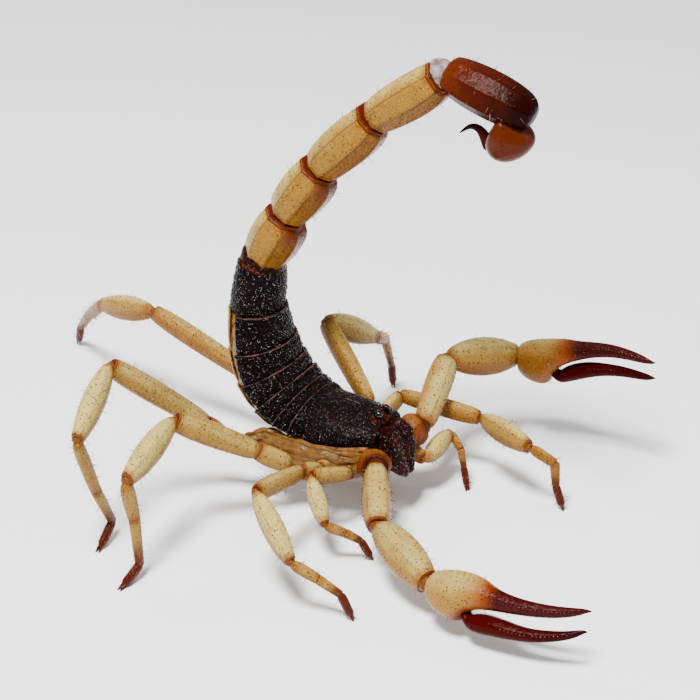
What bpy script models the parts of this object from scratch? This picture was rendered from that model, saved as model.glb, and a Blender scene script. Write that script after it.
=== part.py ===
"""A desert scorpion at life size, standing with its tail raised over its back.

Metres, +Z up. The animal faces -Y, its left side is +X, and its feet rest on the plane z = 0.
The origin is on that plane, under the middle of the box round the whole animal.
Each named object is one hard piece of the animal, a closed body clear of its neighbours.
The named sizes below are in millimetres and degrees, from a point on the floor under the head.
"""

import math

import bmesh
import bpy
from mathutils import Vector

MM = 0.001
GAP = 0.3
UP = Vector((0, 0, 1))
LEFT = Vector((1, 0, 0))
BACK = Vector((0, 1, 0))
SIDES = {"right": -1, "left": 1}

# Carapace: at places along Y, its half width, and the levels of its rim and of its back.
CARAPACE_STATIONS = (
    (-8.2, 2.9, 12.8, 13.3),
    (-7.6, 3.9, 12.5, 13.9),
    (-6.2, 4.7, 12.1, 14.4),
    (-4.0, 5.3, 11.6, 14.8),
    (-1.0, 5.9, 11.2, 15.1),
    (1.6, 6.2, 11.1, 15.3),
    (3.1, 6.2, 11.1, 15.3),
)
EYE_RADIUS = 0.55
EYE_PLACE = (1.0, -5.7, 14.3)
EYE_GAP = 0.15

# Jaws: at places down each one, how far out, along Y and up, and its half width and half depth.
CHELICERA_STATIONS = (
    (1.6, -7.4, 12.0, 0.6, 0.6),
    (1.65, -7.5, 11.7, 1.2, 1.2),
    (1.7, -7.8, 11.0, 1.5, 1.6),
    (1.7, -8.1, 9.6, 1.55, 1.7),
    (1.5, -8.8, 8.0, 1.3, 1.3),
    (1.2, -9.5, 6.9, 0.85, 0.8),
    (1.0, -9.8, 6.2, 0.4, 0.4),
)

# Underside of the head: at places along Y, its half width, lowest and highest level.
UNDERSIDE_STATIONS = (
    (-5.9, 2.8, 7.2, 10.4),
    (-5.0, 3.3, 6.5, 10.8),
    (-3.5, 3.6, 6.1, 10.8),
    (-1.5, 3.9, 6.0, 10.8),
    (0.5, 4.8, 6.0, 10.8),
    (2.9, 5.0, 6.1, 10.8),
    (3.1, 5.0, 6.1, 8.6),
    (7.4, 4.0, 6.6, 8.4),
)

# Trunk: the line through its seven rings runs back from the carapace and curves up.
TRUNK_START = Vector((0, 3.5, 12.0))
TERGITE_LENGTHS = (1.8, 2.3, 2.8, 3.4, 4.1, 5.1, 7.2)
TERGITE_HEADINGS = (10, 21, 36, 54, 72, 87, 94)
TRUNK_WIDTHS = (12.6, 13.2, 13.6, 13.6, 13.0, 11.6, 9.2, 7.4)
TRUNK_BACKS = (3.3, 3.4, 3.7, 4.1, 4.2, 4.0, 3.1, 3.0)
TRUNK_BELLIES = (3.2, 3.4, 3.7, 4.2, 4.6, 4.6, 4.4, 3.2)

# Tail: each segment's length, its heading from the backward level, its width, its height over
# and under the middle line as the animal would lie flat, and how far its far end is drawn in.
TAIL_SEGMENTS = (
    (8.4, 117, 7.0, 3.3, 3.3, 0.76),
    (9.2, 124, 6.7, 3.2, 3.1, 0.76),
    (11.5, 134, 6.4, 3.0, 2.9, 0.76),
    (11.8, 143, 6.1, 2.8, 2.7, 0.76),
    (12.8, 197, 5.8, 2.05, 3.4, 0.6),
)
TAIL_WAIST = 0.76
TAIL_BARREL = ((0.25, 0.98), (0.5, 1.0), (0.75, 0.98))
TAIL_SHOULDER = 0.07

# Sting, folded back under the tail: steps back and up from the tail's end, with half widths
# and half depths.
VESICLE_PATH = (
    (-0.1, -2.05, 0.8, 0.45),
    (0.6, -2.45, 1.5, 0.9),
    (1.6, -2.8, 2.1, 1.4),
    (3.0, -3.05, 2.4, 1.75),
    (4.1, -2.95, 2.1, 1.55),
    (4.9, -2.75, 1.4, 1.0),
    (5.3, -2.6, 0.7, 0.5),
)
ACULEUS_PATH = (
    (5.35, -4.5, 0.5, 0.5),
    (5.8, -3.95, 0.5, 0.5),
    (6.3, -2.95, 0.47, 0.47),
    (7.0, -2.15, 0.43, 0.43),
    (8.1, -1.95, 0.36, 0.36),
    (9.0, -2.6, 0.29, 0.29),
    (9.8, -3.4, 0.22, 0.22),
)

# Pincers: joint places at the body, then the length, width and height of each piece.
PALP_ROOT = (4.4, -6.6, 9.4)
PALP_SHOULDER = (7.0, -8.5, 10.4)
PALP_TROCHANTER_SIZE = 3.6
PALP_FEMUR = (11.0, 3.9, 4.4)
PALP_PATELLA = (11.5, 4.8, 5.6)
PALP_HAND_LENGTH = 9.0
PALP_STANCE = {"right": ((30, 63, 82, 87), (-13, -12, 4, 8)), "left": ((-6, 34, 90, 86), (32, -10, 4, 7))}
PALP_ROLL = {"right": 65, "left": 85}
# Fingers: their length, how far their tips bend inward, and for each hand how far they rise
# at the knuckle and arch between knuckle and tip.
FINGER_LENGTH = 12.5
FINGER_BEND = 2.0
FINGER_RISE = {"right": 0.0, "left": 1.4}
FINGER_ARCH = {"right": 0.0, "left": 1.5}
KNUCKLE_SPAN = 4.0
# Hand and fingers: distance along, offset above the line, half heights above and below, half width.
HAND_STATIONS = (
    (0.0, 0.0, 1.3, 1.3, 1.2),
    (0.9, -0.3, 2.2, 2.3, 1.9),
    (2.6, -0.4, 3.0, 3.1, 2.6),
    (4.6, -0.3, 3.3, 3.4, 2.8),
    (5.6, -0.1, 3.1, 3.2, 2.7),
    (6.3, 0.5, 2.4, 2.0, 2.4),
    (8.2, 0.7, 1.9, 1.5, 1.9),
)
FIXED_FINGER_STATIONS = (
    (0.6, 0.6, 1.4, 1.3, 1.4),
    (3.0, 0.35, 1.05, 1.05, 1.0),
    (6.0, 0.27, 0.85, 0.85, 0.8),
    (9.0, 0.45, 0.67, 0.67, 0.6),
    (11.3, 0.9, 0.45, 0.45, 0.4),
    (12.5, 1.25, 0.25, 0.25, 0.25),
)
MOVABLE_FINGER_STATIONS = (
    (-2.4, -2.8, 0.6, 0.6, 0.9),
    (-1.6, -2.65, 1.0, 1.05, 1.3),
    (0.0, -2.55, 1.15, 1.25, 1.35),
    (2.5, -2.75, 1.05, 1.05, 1.1),
    (5.0, -2.95, 0.77, 0.77, 0.85),
    (7.5, -2.75, 0.65, 0.65, 0.7),
    (10.0, -2.25, 0.5, 0.5, 0.5),
    (11.5, -1.7, 0.37, 0.37, 0.35),
    (12.3, -1.3, 0.25, 0.25, 0.25),
)

# Legs 1 to 4: coxa root and hip (out, along Y, up), then the length and the height of the
# trochanter, femur, patella, tibia, basitarsus and tarsus.
COXA_ROOTS = (None, (5.6, -0.7, 8.3), (5.7, 3.0, 8.0), (5.2, 8.2, 8.0))
HIPS = ((5.0, -3.5, 8.0), (9.0, -1.0, 9.0), (8.2, 4.3, 8.1), (7.5, 15.0, 8.5))
COXA_HEIGHT = 2.9
LEG_LENGTHS = (
    (2.5, 6.5, 7.0, 3.0, 2.5, 3.5),
    (4.0, 12.0, 10.5, 4.0, 3.5, 4.0),
    (5.3, 13.5, 12.5, 6.0, 7.5, 4.5),
    (4.5, 18.5, 12.0, 10.0, 8.0, 5.0),
)
LEG_HEIGHTS = (
    (2.2, 2.4, 2.6, 1.6, 1.3, 1.0),
    (2.7, 2.8, 3.0, 1.8, 1.4, 1.1),
    (3.0, 3.4, 3.3, 2.3, 1.7, 1.3),
    (3.0, 3.2, 3.2, 2.2, 1.7, 1.3),
)
LEG_THICKNESS = 0.76
CLAW_TIP = 0.6

# Stance: yaw of the trochanter, femur, patella and foot, from straight out towards the front,
# then pitch of the trochanter, femur, patella, tibia and basitarsus above the level.
STANCE = {
    "right_1": ((27, -26, 50, 128), (14, 14, -37, -29, -34)),
    "right_2": ((-13, 1, 61, 108), (21, 14, -33, -30, -34)),
    "right_3": ((-44, -38, 3, -8), (32, 32, -13, -101, -94)),
    "right_4": ((-40, -29, 10, 6), (52, 42, -28, -112, -118)),
    "left_1": ((11, 113, 5, 120), (-17, -9, 7, -28, -71)),
    "left_2": ((18, 81, 114, 76), (26, -7, 0, -30, -85)),
    "left_3": ((102, -66, 13, -12), (38, 40, -31, -28, -59)),
    "left_4": ((-87, -93, -76, -51), (21, 23, -13, -33, -38)),
}

# Combs under the trunk: root and tip (out, along Y, up), half height, tooth depth and count.
PECTEN_ROOT = (1.4, 8.6, 7.3)
PECTEN_TIP = (4.6, 12.8, 6.5)
PECTEN_HALF_HEIGHT = 0.8
PECTEN_HALF_THICKNESS = 0.3
PECTEN_SAG = 0.5
PECTEN_TEETH = 7
PECTEN_NOTCH = 0.45
PECTEN_TAPER = 0.4

# Cross-sections: 2 is an ellipse, more is squarer. The head shield is a dome of so many steps.
TRUNK_SQUARENESS = 2.2
TAIL_SQUARENESS = 2.4
UNDERSIDE_SQUARENESS = 2.6
CARAPACE_STEPS = 16
CARAPACE_FULLNESS = 0.85

# Which way the rings of the jaws face: down and a little forward.
CHELICERA_LEAN = (0, -0.3, -1)


def clear_scene():
    for obj in list(bpy.data.objects):
        bpy.data.objects.remove(obj, do_unlink=True)


def material(name, colour, roughness):
    made = bpy.data.materials.new(name)
    made.use_nodes = True
    shader = made.node_tree.nodes["Principled BSDF"]
    shader.inputs["Base Color"].default_value = (*colour, 1)
    shader.inputs["Roughness"].default_value = roughness
    shader.inputs["Metallic"].default_value = 0
    made.diffuse_color = (*colour, 1)
    return made


def direction(side, yaw, pitch):
    """Unit vector at a yaw from straight out towards the front, and a pitch above the level."""
    a, b = math.radians(yaw), math.radians(pitch)
    return Vector((side * math.cos(a) * math.cos(b), -math.sin(a) * math.cos(b), math.sin(b)))


def heading_vector(heading):
    """Unit vector in the middle plane, its heading measured up from the backward level."""
    return Vector((0, math.cos(math.radians(heading)), math.sin(math.radians(heading))))


def bisector(before, after):
    return (before.normalized() + after.normalized()).normalized()


def mirrored(side, place):
    return Vector((side * place[0], place[1], place[2]))


def ring_at(centre, normal, facing, half_width, half_up, half_down, sides, squareness=2.0):
    """An oval ring square to a normal, its width along the facing vector laid into its plane."""
    normal = normal.normalized()
    side = (facing - normal * facing.dot(normal)).normalized()
    lift = normal.cross(side)
    ring = []
    for i in range(sides):
        angle = 2 * math.pi * (i + 0.5) / sides
        c, s = math.cos(angle), math.sin(angle)
        across = math.copysign(abs(c) ** (2 / squareness), c) * half_width
        height = math.copysign(abs(s) ** (2 / squareness), s) * (half_up if s > 0 else half_down)
        ring.append(centre + side * across + lift * height)
    return ring


def loft(name, rings, finish, floor=False):
    """A closed skin through rings of points, flat at both ends."""
    mesh = bmesh.new()
    rows = []
    for ring in rings:
        rows.append([mesh.verts.new(Vector((p.x, p.y, max(p.z, 0) if floor else p.z)) * MM) for p in ring])
    count = len(rows[0])
    for near, far in zip(rows, rows[1:]):
        for i in range(count):
            j = (i + 1) % count
            mesh.faces.new((near[i], near[j], far[j], far[i]))
    mesh.faces.new(reversed(rows[0]))
    mesh.faces.new(rows[-1])
    bmesh.ops.recalc_face_normals(mesh, faces=mesh.faces)
    new_object(name, mesh, finish)


def new_object(name, mesh, finish, group="Desert scorpion"):
    data = bpy.data.meshes.new(name)
    mesh.to_mesh(data)
    mesh.free()
    data.materials.append(finish)
    data.shade_smooth()
    data.set_sharp_from_angle(angle=math.radians(40))
    made = bpy.data.objects.new(name, data)
    bpy.data.collections[group].objects.link(made)
    return made


def barrel_stops(length, half, before, after):
    """Distances for the rings of one barrel, clear of the mitres at its two joints."""
    first, last = (max(0.1 * length, 1.1 * half * math.tan(lean) + 0.2) for lean in (before, after))
    last = length - last
    if last - first < 0.25 * length:
        return [length / 2]
    return [first, (first + last) / 2, last]


def limb(name, points, facings, heights, finish, before=None, after=None, sides=8, waist=0.7,
         thickness=LEG_THICKNESS, tip=None):
    """A chain of barrels along points, narrowed at the joints, its ends mitred to its neighbours."""
    runs = [far - near for near, far in zip(points, points[1:])]
    normals = [bisector(before or runs[0], runs[0])]
    normals += [bisector(near, far) for near, far in zip(runs, runs[1:])]
    normals += [-UP if tip else bisector(runs[-1], after or runs[-1])]
    rings = []
    for i, run in enumerate(runs):
        half = heights[i] / 2
        joint = waist * (half + heights[max(i - 1, 0)] / 2) / 2
        start = points[i] + normals[i] * (0 if i else GAP / 2)
        facing = facings[i] + facings[max(i - 1, 0)]
        rings.append(ring_at(start, normals[i], facing, joint * thickness, joint, joint, sides))
        far_lean = 0 if tip and i == len(runs) - 1 else run.angle(normals[i + 1])
        for stop in barrel_stops(run.length, half, run.angle(normals[i]), far_lean):
            u = stop / run.length
            size = half * (waist + (1 - waist) * (4 * u * (1 - u)) ** 0.6)
            if tip and i == len(runs) - 1:
                size = half + (tip / 2 - half) * u
            place = points[i] + run * u
            rings.append(ring_at(place, run, facings[i], size * thickness, size, size, sides))
    end = points[-1] - normals[-1] * (GAP / 2 if after else 0)
    size = tip / 2 if tip else waist * heights[-1] / 2
    rings.append(ring_at(end, normals[-1], facings[-1], size * thickness, size, size, sides))
    loft(name, rings, finish, floor=bool(tip))


def leg_points(key):
    """The joints of a leg from its hip to the ground, and the facing of each segment."""
    side = SIDES[key[:-2]]
    number = int(key[-1]) - 1
    lengths = LEG_LENGTHS[number]
    yaws, pitches = STANCE[key]
    yaws = yaws + (yaws[-1], yaws[-1])
    points = [mirrored(side, HIPS[number])]
    for length, yaw, pitch in zip(lengths, yaws, pitches):
        points.append(points[-1] + direction(side, yaw, pitch) * length)
    drop = -math.asin(points[-1].z / lengths[-1])
    points.append(points[-1] + direction(side, yaws[-1], math.degrees(drop)) * lengths[-1])
    return points, [UP.cross(direction(side, yaw, 0)) for yaw in yaws]


def leg(key, straw, amber):
    points, facings = leg_points(key)
    side = SIDES[key[:-2]]
    number = int(key[-1]) - 1
    heights = LEG_HEIGHTS[number]
    runs = [far - near for near, far in zip(points, points[1:])]
    thigh, thigh_facings, thigh_heights = points[:3], facings[:2], heights[:2]
    if COXA_ROOTS[number]:
        root = mirrored(side, COXA_ROOTS[number])
        coxa = points[0] - root
        thigh, thigh_facings = [root] + thigh, [UP.cross(coxa).normalized()] + thigh_facings
        thigh_heights = (COXA_HEIGHT,) + thigh_heights
    limb(f"leg_{key}_femur", thigh, thigh_facings, thigh_heights, straw, after=runs[2], sides=10)
    limb(f"leg_{key}_patella", points[2:4], facings[2:3], heights[2:3], straw, runs[1], runs[3], sides=10)
    limb(f"leg_{key}_tarsus", points[3:], facings[3:], heights[3:], amber, runs[2], tip=CLAW_TIP)


def trunk(finish):
    """The seven rings of the trunk. Returns where the tail starts."""
    places = [TRUNK_START]
    for length, heading in zip(TERGITE_LENGTHS, TERGITE_HEADINGS):
        places.append(places[-1] + heading_vector(heading) * length)
    headings = (0,) + TERGITE_HEADINGS + (TAIL_SEGMENTS[0][1],)
    vectors = [heading_vector(h) for h in headings]
    for i in range(len(TERGITE_LENGTHS)):
        along = vectors[i + 1]
        first, last = bisector(vectors[i], along), bisector(along, vectors[i + 2])
        stops = (
            (places[i] + first * GAP / 2, first, 0),
            ((places[i] + places[i + 1]) / 2, along, 0.5),
            (places[i + 1] - last * GAP / 2, last, 1),
        )
        rings = []
        for place, normal, t in stops:
            width, up, down = (s[i] + (s[i + 1] - s[i]) * t for s in (TRUNK_WIDTHS, TRUNK_BACKS, TRUNK_BELLIES))
            rings.append(ring_at(place, -normal, LEFT, width / 2, up, down, 20, TRUNK_SQUARENESS))
        loft(f"mesosoma_{i + 1}", rings, finish)
    return places[-1]


def tail(start, pale, dark):
    """The five tail segments. Returns where the sting starts."""
    place = start
    headings = TERGITE_HEADINGS[-1:] + tuple(s[1] for s in TAIL_SEGMENTS) + (TAIL_SEGMENTS[-1][1],)
    vectors = [heading_vector(h) for h in headings]
    for i, (length, _, width, back, belly, drawn_in) in enumerate(TAIL_SEGMENTS):
        along = vectors[i + 1]
        first, last = bisector(vectors[i], along), bisector(along, vectors[i + 2])
        end = place + along * length
        near, far = (shoulder(length, belly, along.angle(normal)) for normal in (first, last))
        stops = [(place + first * GAP / 2, first, TAIL_WAIST)]
        stops += [(place + along * near, along, (1 + TAIL_WAIST) / 2)]
        stops += [(place + along * length * t, along, factor) for t, factor in TAIL_BARREL]
        stops += [(end - along * far, along, (1 + drawn_in) / 2)]
        stops += [(end - last * GAP / 2, last, drawn_in)]
        rings = [
            ring_at(centre, -normal, LEFT, width / 2 * f, back * f, belly * f, 16, TAIL_SQUARENESS)
            for centre, normal, f in stops
        ]
        loft(f"metasoma_{i + 1}", rings, dark if i == len(TAIL_SEGMENTS) - 1 else pale)
        place = end
    return place


def shoulder(length, half, lean):
    """How far from a joint a segment reaches its full breadth, clear of the joint's mitre."""
    return max(TAIL_SHOULDER * length, half * math.tan(lean) + GAP / 2)


def tube(name, start, path, finish):
    """A tube of oval rings along steps back and up from a start."""
    places = [start + Vector((0, back, up)) for back, up, _, _ in path]
    runs = [far - near for near, far in zip(places, places[1:])]
    normals = [runs[0]] + [bisector(near, far) for near, far in zip(runs, runs[1:])] + [runs[-1]]
    rings = [
        ring_at(place, normal, LEFT, half_width, half_depth, half_depth, 12)
        for place, normal, (_, _, half_width, half_depth) in zip(places, normals, path)
    ]
    loft(name, rings, finish)


def carapace(finish):
    """The shield over the head: a low dome with a level rim."""
    rings = []
    for y, half, rim, top in CARAPACE_STATIONS:
        ring = []
        for i in range(CARAPACE_STEPS + 1):
            angle = math.pi * i / CARAPACE_STEPS
            c, s = math.cos(angle), math.sin(angle)
            out = half * math.copysign(abs(c) ** CARAPACE_FULLNESS, c)
            ring.append(Vector((out, y, rim + (top - rim) * abs(s) ** CARAPACE_FULLNESS)))
        rings.append(ring)
    loft("carapace", rings, finish)


def eyes(finish):
    """The two middle eyes, each in a socket sunk in the carapace."""
    shield = bpy.data.objects["carapace"]
    for name, side in SIDES.items():
        ball(f"median_eye_{name}", side, EYE_RADIUS, finish)
        cutter = ball(f"socket_{name}", side, EYE_RADIUS + EYE_GAP, finish, "Cutters")
        cutter.hide_render = True
        cutter.display_type = "WIRE"
        socket = shield.modifiers.new(f"Socket {name}", "BOOLEAN")
        socket.operation = "DIFFERENCE"
        socket.object = cutter


def ball(name, side, radius, finish, group="Desert scorpion"):
    mesh = bmesh.new()
    bmesh.ops.create_uvsphere(mesh, u_segments=10, v_segments=7, radius=radius * MM)
    bmesh.ops.translate(mesh, verts=mesh.verts, vec=mirrored(side, EYE_PLACE) * MM)
    return new_object(name, mesh, finish, group)


def chelicerae(finish):
    for name, side in SIDES.items():
        rings = []
        for out, y, z, half_width, half_depth in CHELICERA_STATIONS:
            centre = mirrored(side, (out, y, z))
            normal = Vector(CHELICERA_LEAN)
            rings.append(ring_at(centre, normal, LEFT, half_width, half_depth, half_depth, 12))
        loft(f"chelicera_{name}", rings, finish)


def underside(finish):
    """The breastplate and the hips fused round it, under the head."""
    rings = []
    for y, half, low, high in UNDERSIDE_STATIONS:
        middle, size = (low + high) / 2, (high - low) / 2
        rings.append(ring_at(Vector((0, y, middle)), BACK, LEFT, half, size, size, 16, UNDERSIDE_SQUARENESS))
    loft("coxosternum", rings, finish)


def pectines(finish):
    """The two combs behind the breastplate, each one bar with a row of teeth along its edge."""
    for name, side in SIDES.items():
        root, tip = mirrored(side, PECTEN_ROOT), mirrored(side, PECTEN_TIP)
        run = tip - root
        rings = []
        for i in range(2 * PECTEN_TEETH + 1):
            t = i / (2 * PECTEN_TEETH)
            size = PECTEN_HALF_HEIGHT * (1 - PECTEN_TAPER * t)
            depth = size * (1 if i % 2 else PECTEN_NOTCH)
            centre = root + run * t - UP * PECTEN_SAG * math.sin(math.pi * t)
            rings.append(ring_at(centre, run, UP.cross(run), PECTEN_HALF_THICKNESS, size, depth, 6))
        loft(f"pecten_{name}", rings, finish)


def pincer(name, straw, amber, dark):
    side = SIDES[name]
    yaws, pitches = PALP_STANCE[name]
    points = [mirrored(side, PALP_ROOT), mirrored(side, PALP_SHOULDER)]
    for length, yaw, pitch in zip((PALP_FEMUR[0], PALP_PATELLA[0], PALP_HAND_LENGTH), yaws, pitches):
        points.append(points[-1] + direction(side, yaw, pitch) * length)
    facings = [UP.cross(direction(side, yaw, 0)) for yaw in yaws[:1] + yaws]
    runs = [far - near for near, far in zip(points, points[1:])]
    limb(f"palp_{name}_trochanter", points[:2], facings[:1], (PALP_TROCHANTER_SIZE,), amber, after=runs[1],
         sides=12, waist=0.74, thickness=1)
    for i, (label, (_, width, height)) in enumerate((("femur", PALP_FEMUR), ("patella", PALP_PATELLA)), 1):
        limb(f"palp_{name}_{label}", points[i:i + 2], facings[i:i + 1], (height,), straw, runs[i - 1],
             runs[i + 1], sides=12, waist=0.62, thickness=width / height)
    hand(name, points[3], points[4], runs[2], direction(side, yaws[3], pitches[3]), straw, dark)


def hand(name, wrist, knuckle, before, finger, straw, dark):
    """The swollen hand drawn out into its fixed finger, and the movable finger below it."""
    palm = (knuckle - wrist).normalized()
    mitre = bisector(before, palm)
    rings = [palp_ring(name, wrist + mitre * GAP / 2, palm, HAND_STATIONS[0], PALP_HAND_LENGTH, mitre)]
    rings += [palp_ring(name, wrist, palm, station, PALP_HAND_LENGTH) for station in HAND_STATIONS[1:]]
    rings += [palp_ring(name, knuckle, finger, station) for station in FIXED_FINGER_STATIONS]
    loft(f"palp_{name}_manus", rings, straw)
    rings = [palp_ring(name, knuckle, finger, station) for station in MOVABLE_FINGER_STATIONS]
    loft(f"palp_{name}_movable_finger", rings, dark)


def palp_ring(name, origin, along, station, knuckle_distance=0, normal=None):
    """One ring of a hand, which is rolled so that the movable finger lies below and outward."""
    distance, offset, half_up, half_down, half_width = station
    past = distance - knuckle_distance
    reach = min(max(past / FINGER_LENGTH, 0), 1)
    offset += FINGER_RISE[name] * min(max(1 + past / KNUCKLE_SPAN, 0), 1)
    offset += FINGER_ARCH[name] * math.sin(math.pi * reach)
    roll = math.radians(PALP_ROLL[name])
    level = UP.cross(along).normalized()
    above = along.cross(level) * math.sin(roll) - level * SIDES[name] * math.cos(roll)
    flank = above.cross(along)
    centre = origin + along * distance + above * offset - flank * SIDES[name] * FINGER_BEND * reach**2
    return ring_at(centre, normal or along, flank, half_width, half_up, half_down, 14)


def centre_on_floor():
    """Moves everything so that the origin is under the middle of the whole animal."""
    pieces = bpy.data.collections["Desert scorpion"].objects
    points = [vertex.co for piece in pieces for vertex in piece.data.vertices]
    middle = [(min(p[i] for p in points) + max(p[i] for p in points)) / 2 for i in range(2)]
    for obj in bpy.data.objects:
        obj.location = (-middle[0], -middle[1], 0)


def main():
    clear_scene()
    for group in ("Desert scorpion", "Cutters"):
        bpy.context.scene.collection.children.link(bpy.data.collections.new(group))
    straw = material("Straw cuticle", (0.62, 0.42, 0.17), 0.35)
    amber = material("Amber cuticle", (0.45, 0.22, 0.07), 0.35)
    black = material("Dark granular cuticle", (0.03, 0.02, 0.025), 0.4)
    chestnut = material("Chestnut cuticle", (0.16, 0.05, 0.02), 0.3)
    lens = material("Eye lens", (0.01, 0.01, 0.012), 0.05)
    carapace(black)
    eyes(lens)
    chelicerae(black)
    underside(amber)
    pectines(straw)
    tail_start = trunk(black)
    sting_start = tail(tail_start, straw, chestnut)
    tube("vesicle", sting_start, VESICLE_PATH, amber)
    tube("aculeus", sting_start, ACULEUS_PATH, chestnut)
    for name in SIDES:
        pincer(name, straw, amber, chestnut)
    for key in STANCE:
        leg(key, straw, amber)
    centre_on_floor()


main()
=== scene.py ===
"""The looks of a desert scorpion: its cuticle, joints, claws, eyes and bristles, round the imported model.

Metres, +Z up, the head towards -Y. Named sizes are in millimetres, and MM turns them to metres.
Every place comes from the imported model: the rings of points that its nodes run through.
"""

import math
from collections import namedtuple

import bmesh
import bpy
import numpy as np
from mathutils import Matrix, Vector


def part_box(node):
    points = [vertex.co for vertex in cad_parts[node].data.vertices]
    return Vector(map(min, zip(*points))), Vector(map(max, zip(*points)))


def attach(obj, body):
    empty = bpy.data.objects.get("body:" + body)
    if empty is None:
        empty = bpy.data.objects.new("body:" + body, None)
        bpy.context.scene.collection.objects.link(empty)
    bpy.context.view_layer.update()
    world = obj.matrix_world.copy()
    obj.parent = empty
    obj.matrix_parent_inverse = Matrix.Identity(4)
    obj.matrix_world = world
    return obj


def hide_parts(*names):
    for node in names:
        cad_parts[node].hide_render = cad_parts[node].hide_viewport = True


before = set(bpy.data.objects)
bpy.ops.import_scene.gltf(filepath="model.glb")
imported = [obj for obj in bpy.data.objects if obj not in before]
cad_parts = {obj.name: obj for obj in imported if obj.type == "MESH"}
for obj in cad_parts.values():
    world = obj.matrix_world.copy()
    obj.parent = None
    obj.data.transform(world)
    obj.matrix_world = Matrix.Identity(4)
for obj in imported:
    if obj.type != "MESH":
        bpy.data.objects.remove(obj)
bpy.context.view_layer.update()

MM = 0.001
UP = Vector((0, 0, 1))
SIDES = {"right": -1, "left": 1}
WELD = 0.002 * MM  # points this near are one point
FLAT = 0.002  # faces this near to level, in radians, are one face
chance = np.random.default_rng(7)

# A ring is an oval: its axes run sideways, up and along. A segment is one straight length of a limb.
Ring = namedtuple("Ring", "centre axes width height")
Segment = namedtuple("Segment", "start end up width height")
UNIT_RING = Ring(Vector(), Matrix.Identity(3), 1, 1)

# An outline, ring by ring: a place as a share of the segment's length, a step on from it in mm, the
# breadth as a share of the widest and, where there is one, a lift towards the back as a share of the
# height. The first and last rings are small discs hidden in the pieces next to it.
STUB_OUTLINE = (
    (0, -0.30, 0.25), (0, -0.15, 0.55), (0, 0.15, 0.76), (0.15, 0.1, 0.93), (0.45, 0, 1.04),
    (0.75, 0, 0.99), (1, -0.35, 0.84), (1, -0.20, 0.80), (1, -0.08, 0.79), (1, 0.05, 0.64), (1, 0.10, 0.30),
)
THIGH_OUTLINE = (
    (0, -0.30, 0.25), (0, -0.12, 0.58), (0, 0.20, 0.74), (0.06, 0.15, 0.84), (0.20, 0, 0.93),
    (0.40, 0, 1.01), (0.62, 0, 1.06), (0.82, 0, 1.02), (0.94, 0, 0.90), (1, -0.30, 0.80),
    (1, -0.16, 0.80), (1, 0.02, 0.66), (1, 0.08, 0.30),
)
LONG_PLACES = (
    (0, -0.30), (0, -0.10), (0, 0.15), (0.07, 0.10), (0.20, 0), (0.38, 0), (0.55, 0), (0.74, 0),
    (0.89, 0), (1, -0.38), (1, -0.24), (1, -0.06), (1, 0.05),
)
SPINDLE_OUTLINE, KNEE_OUTLINE = (
    tuple((*place, breadth) for place, breadth in zip(LONG_PLACES, breadths))
    for breadths in (
        (0.20, 0.40, 0.50, 0.66, 0.86, 1.02, 1.06, 0.98, 0.80, 0.66, 0.67, 0.60, 0.25),
        (0.20, 0.45, 0.58, 0.80, 1.06, 1.25, 1.28, 1.14, 0.90, 0.74, 0.75, 0.66, 0.25),
    )
)
SHIN_OUTLINE = (
    (0, -0.25, 0.25), (0, -0.08, 0.60), (0, 0.20, 0.80), (0.10, 0.10, 0.98), (0.32, 0, 1.08),
    (0.62, 0, 1.03), (0.86, 0, 0.95), (1, -0.20, 0.92), (1, -0.08, 0.91), (1, 0.02, 0.80), (1, 0.06, 0.25),
)
ANKLE_OUTLINE = (
    (0, -0.30, 0.60), (0, -0.10, 1.10), (0, 0.10, 1.20), (0.20, 0, 1.14), (0.55, 0, 1.04),
    (0.88, 0, 0.95), (1, -0.20, 0.94), (1, -0.08, 0.92), (1, 0.02, 0.66), (1, 0.06, 0.25),
)
FOOT_OUTLINE = (
    (0, -0.20, 0.40), (0, -0.05, 0.80), (0.06, 0, 1.00), (0.25, 0, 1.05), (0.48, 0, 0.98),
    (0.64, 0, 1.00), (0.74, 0, 0.90), (0.80, 0, 0.58), (0.82, 0, 0.20),
)
TAIL_OUTLINE = (
    (0, -0.80, 0.30), (0, -0.65, 0.54), (0, -0.25, 0.65), (0, 0.05, 0.74), (0, 0.22, 0.81),
    (0.08, 0.10, 0.89), (0.20, 0, 0.97, 0.01), (0.38, 0, 1.03, 0.03), (0.56, 0, 1.06, 0.06),
    (0.72, 0, 1.04, 0.08), (0.84, 0, 0.98, 0.08), (1, -0.78, 0.91, 0.05), (1, -0.62, 0.86, 0.02),
    (1, -0.52, 0.83, 0.01), (1, -0.44, 0.86), (1, -0.34, 0.86), (1, -0.26, 0.80), (1, -0.14, 0.79),
    (1, -0.06, 0.83), (1, 0.06, 0.82), (1, 0.12, 0.77), (1, 0.16, 0.50),
)
TAIL_END_OUTLINE = (
    (0, 0.30, 0.25), (0, 0.42, 0.55), (0, 0.62, 0.74), (0.03, 0.65, 0.84), (0.16, 0, 0.92),
    (0.28, 0, 1.00), (0.46, 0, 1.05), (0.64, 0, 1.04), (0.80, 0, 0.96), (0.91, 0, 0.84),
    (0.98, 0, 0.66), (1, 0.12, 0.42), (1, 0.20, 0.18),
)
# Keels: the angle of each round its ring, in degrees from the up side, and how far it stands out there.
LEG_KEELS = ((40, 1.08), (-40, 1.08), (140, 1.07), (-140, 1.07))
HAND_KEELS = ((15, 1.05), (-45, 1.06), (75, 1.05), (-105, 1.05))
FINGER_KEELS = ((0, 1.08), (54, 1.05), (-54, 1.05))
TAIL_KEEL_ANGLES = (26, -26, 62, -62, 112, -112, 156, -156)
TAIL_KEELS = tuple((angle, 1.10) for angle in TAIL_KEEL_ANGLES)

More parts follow.
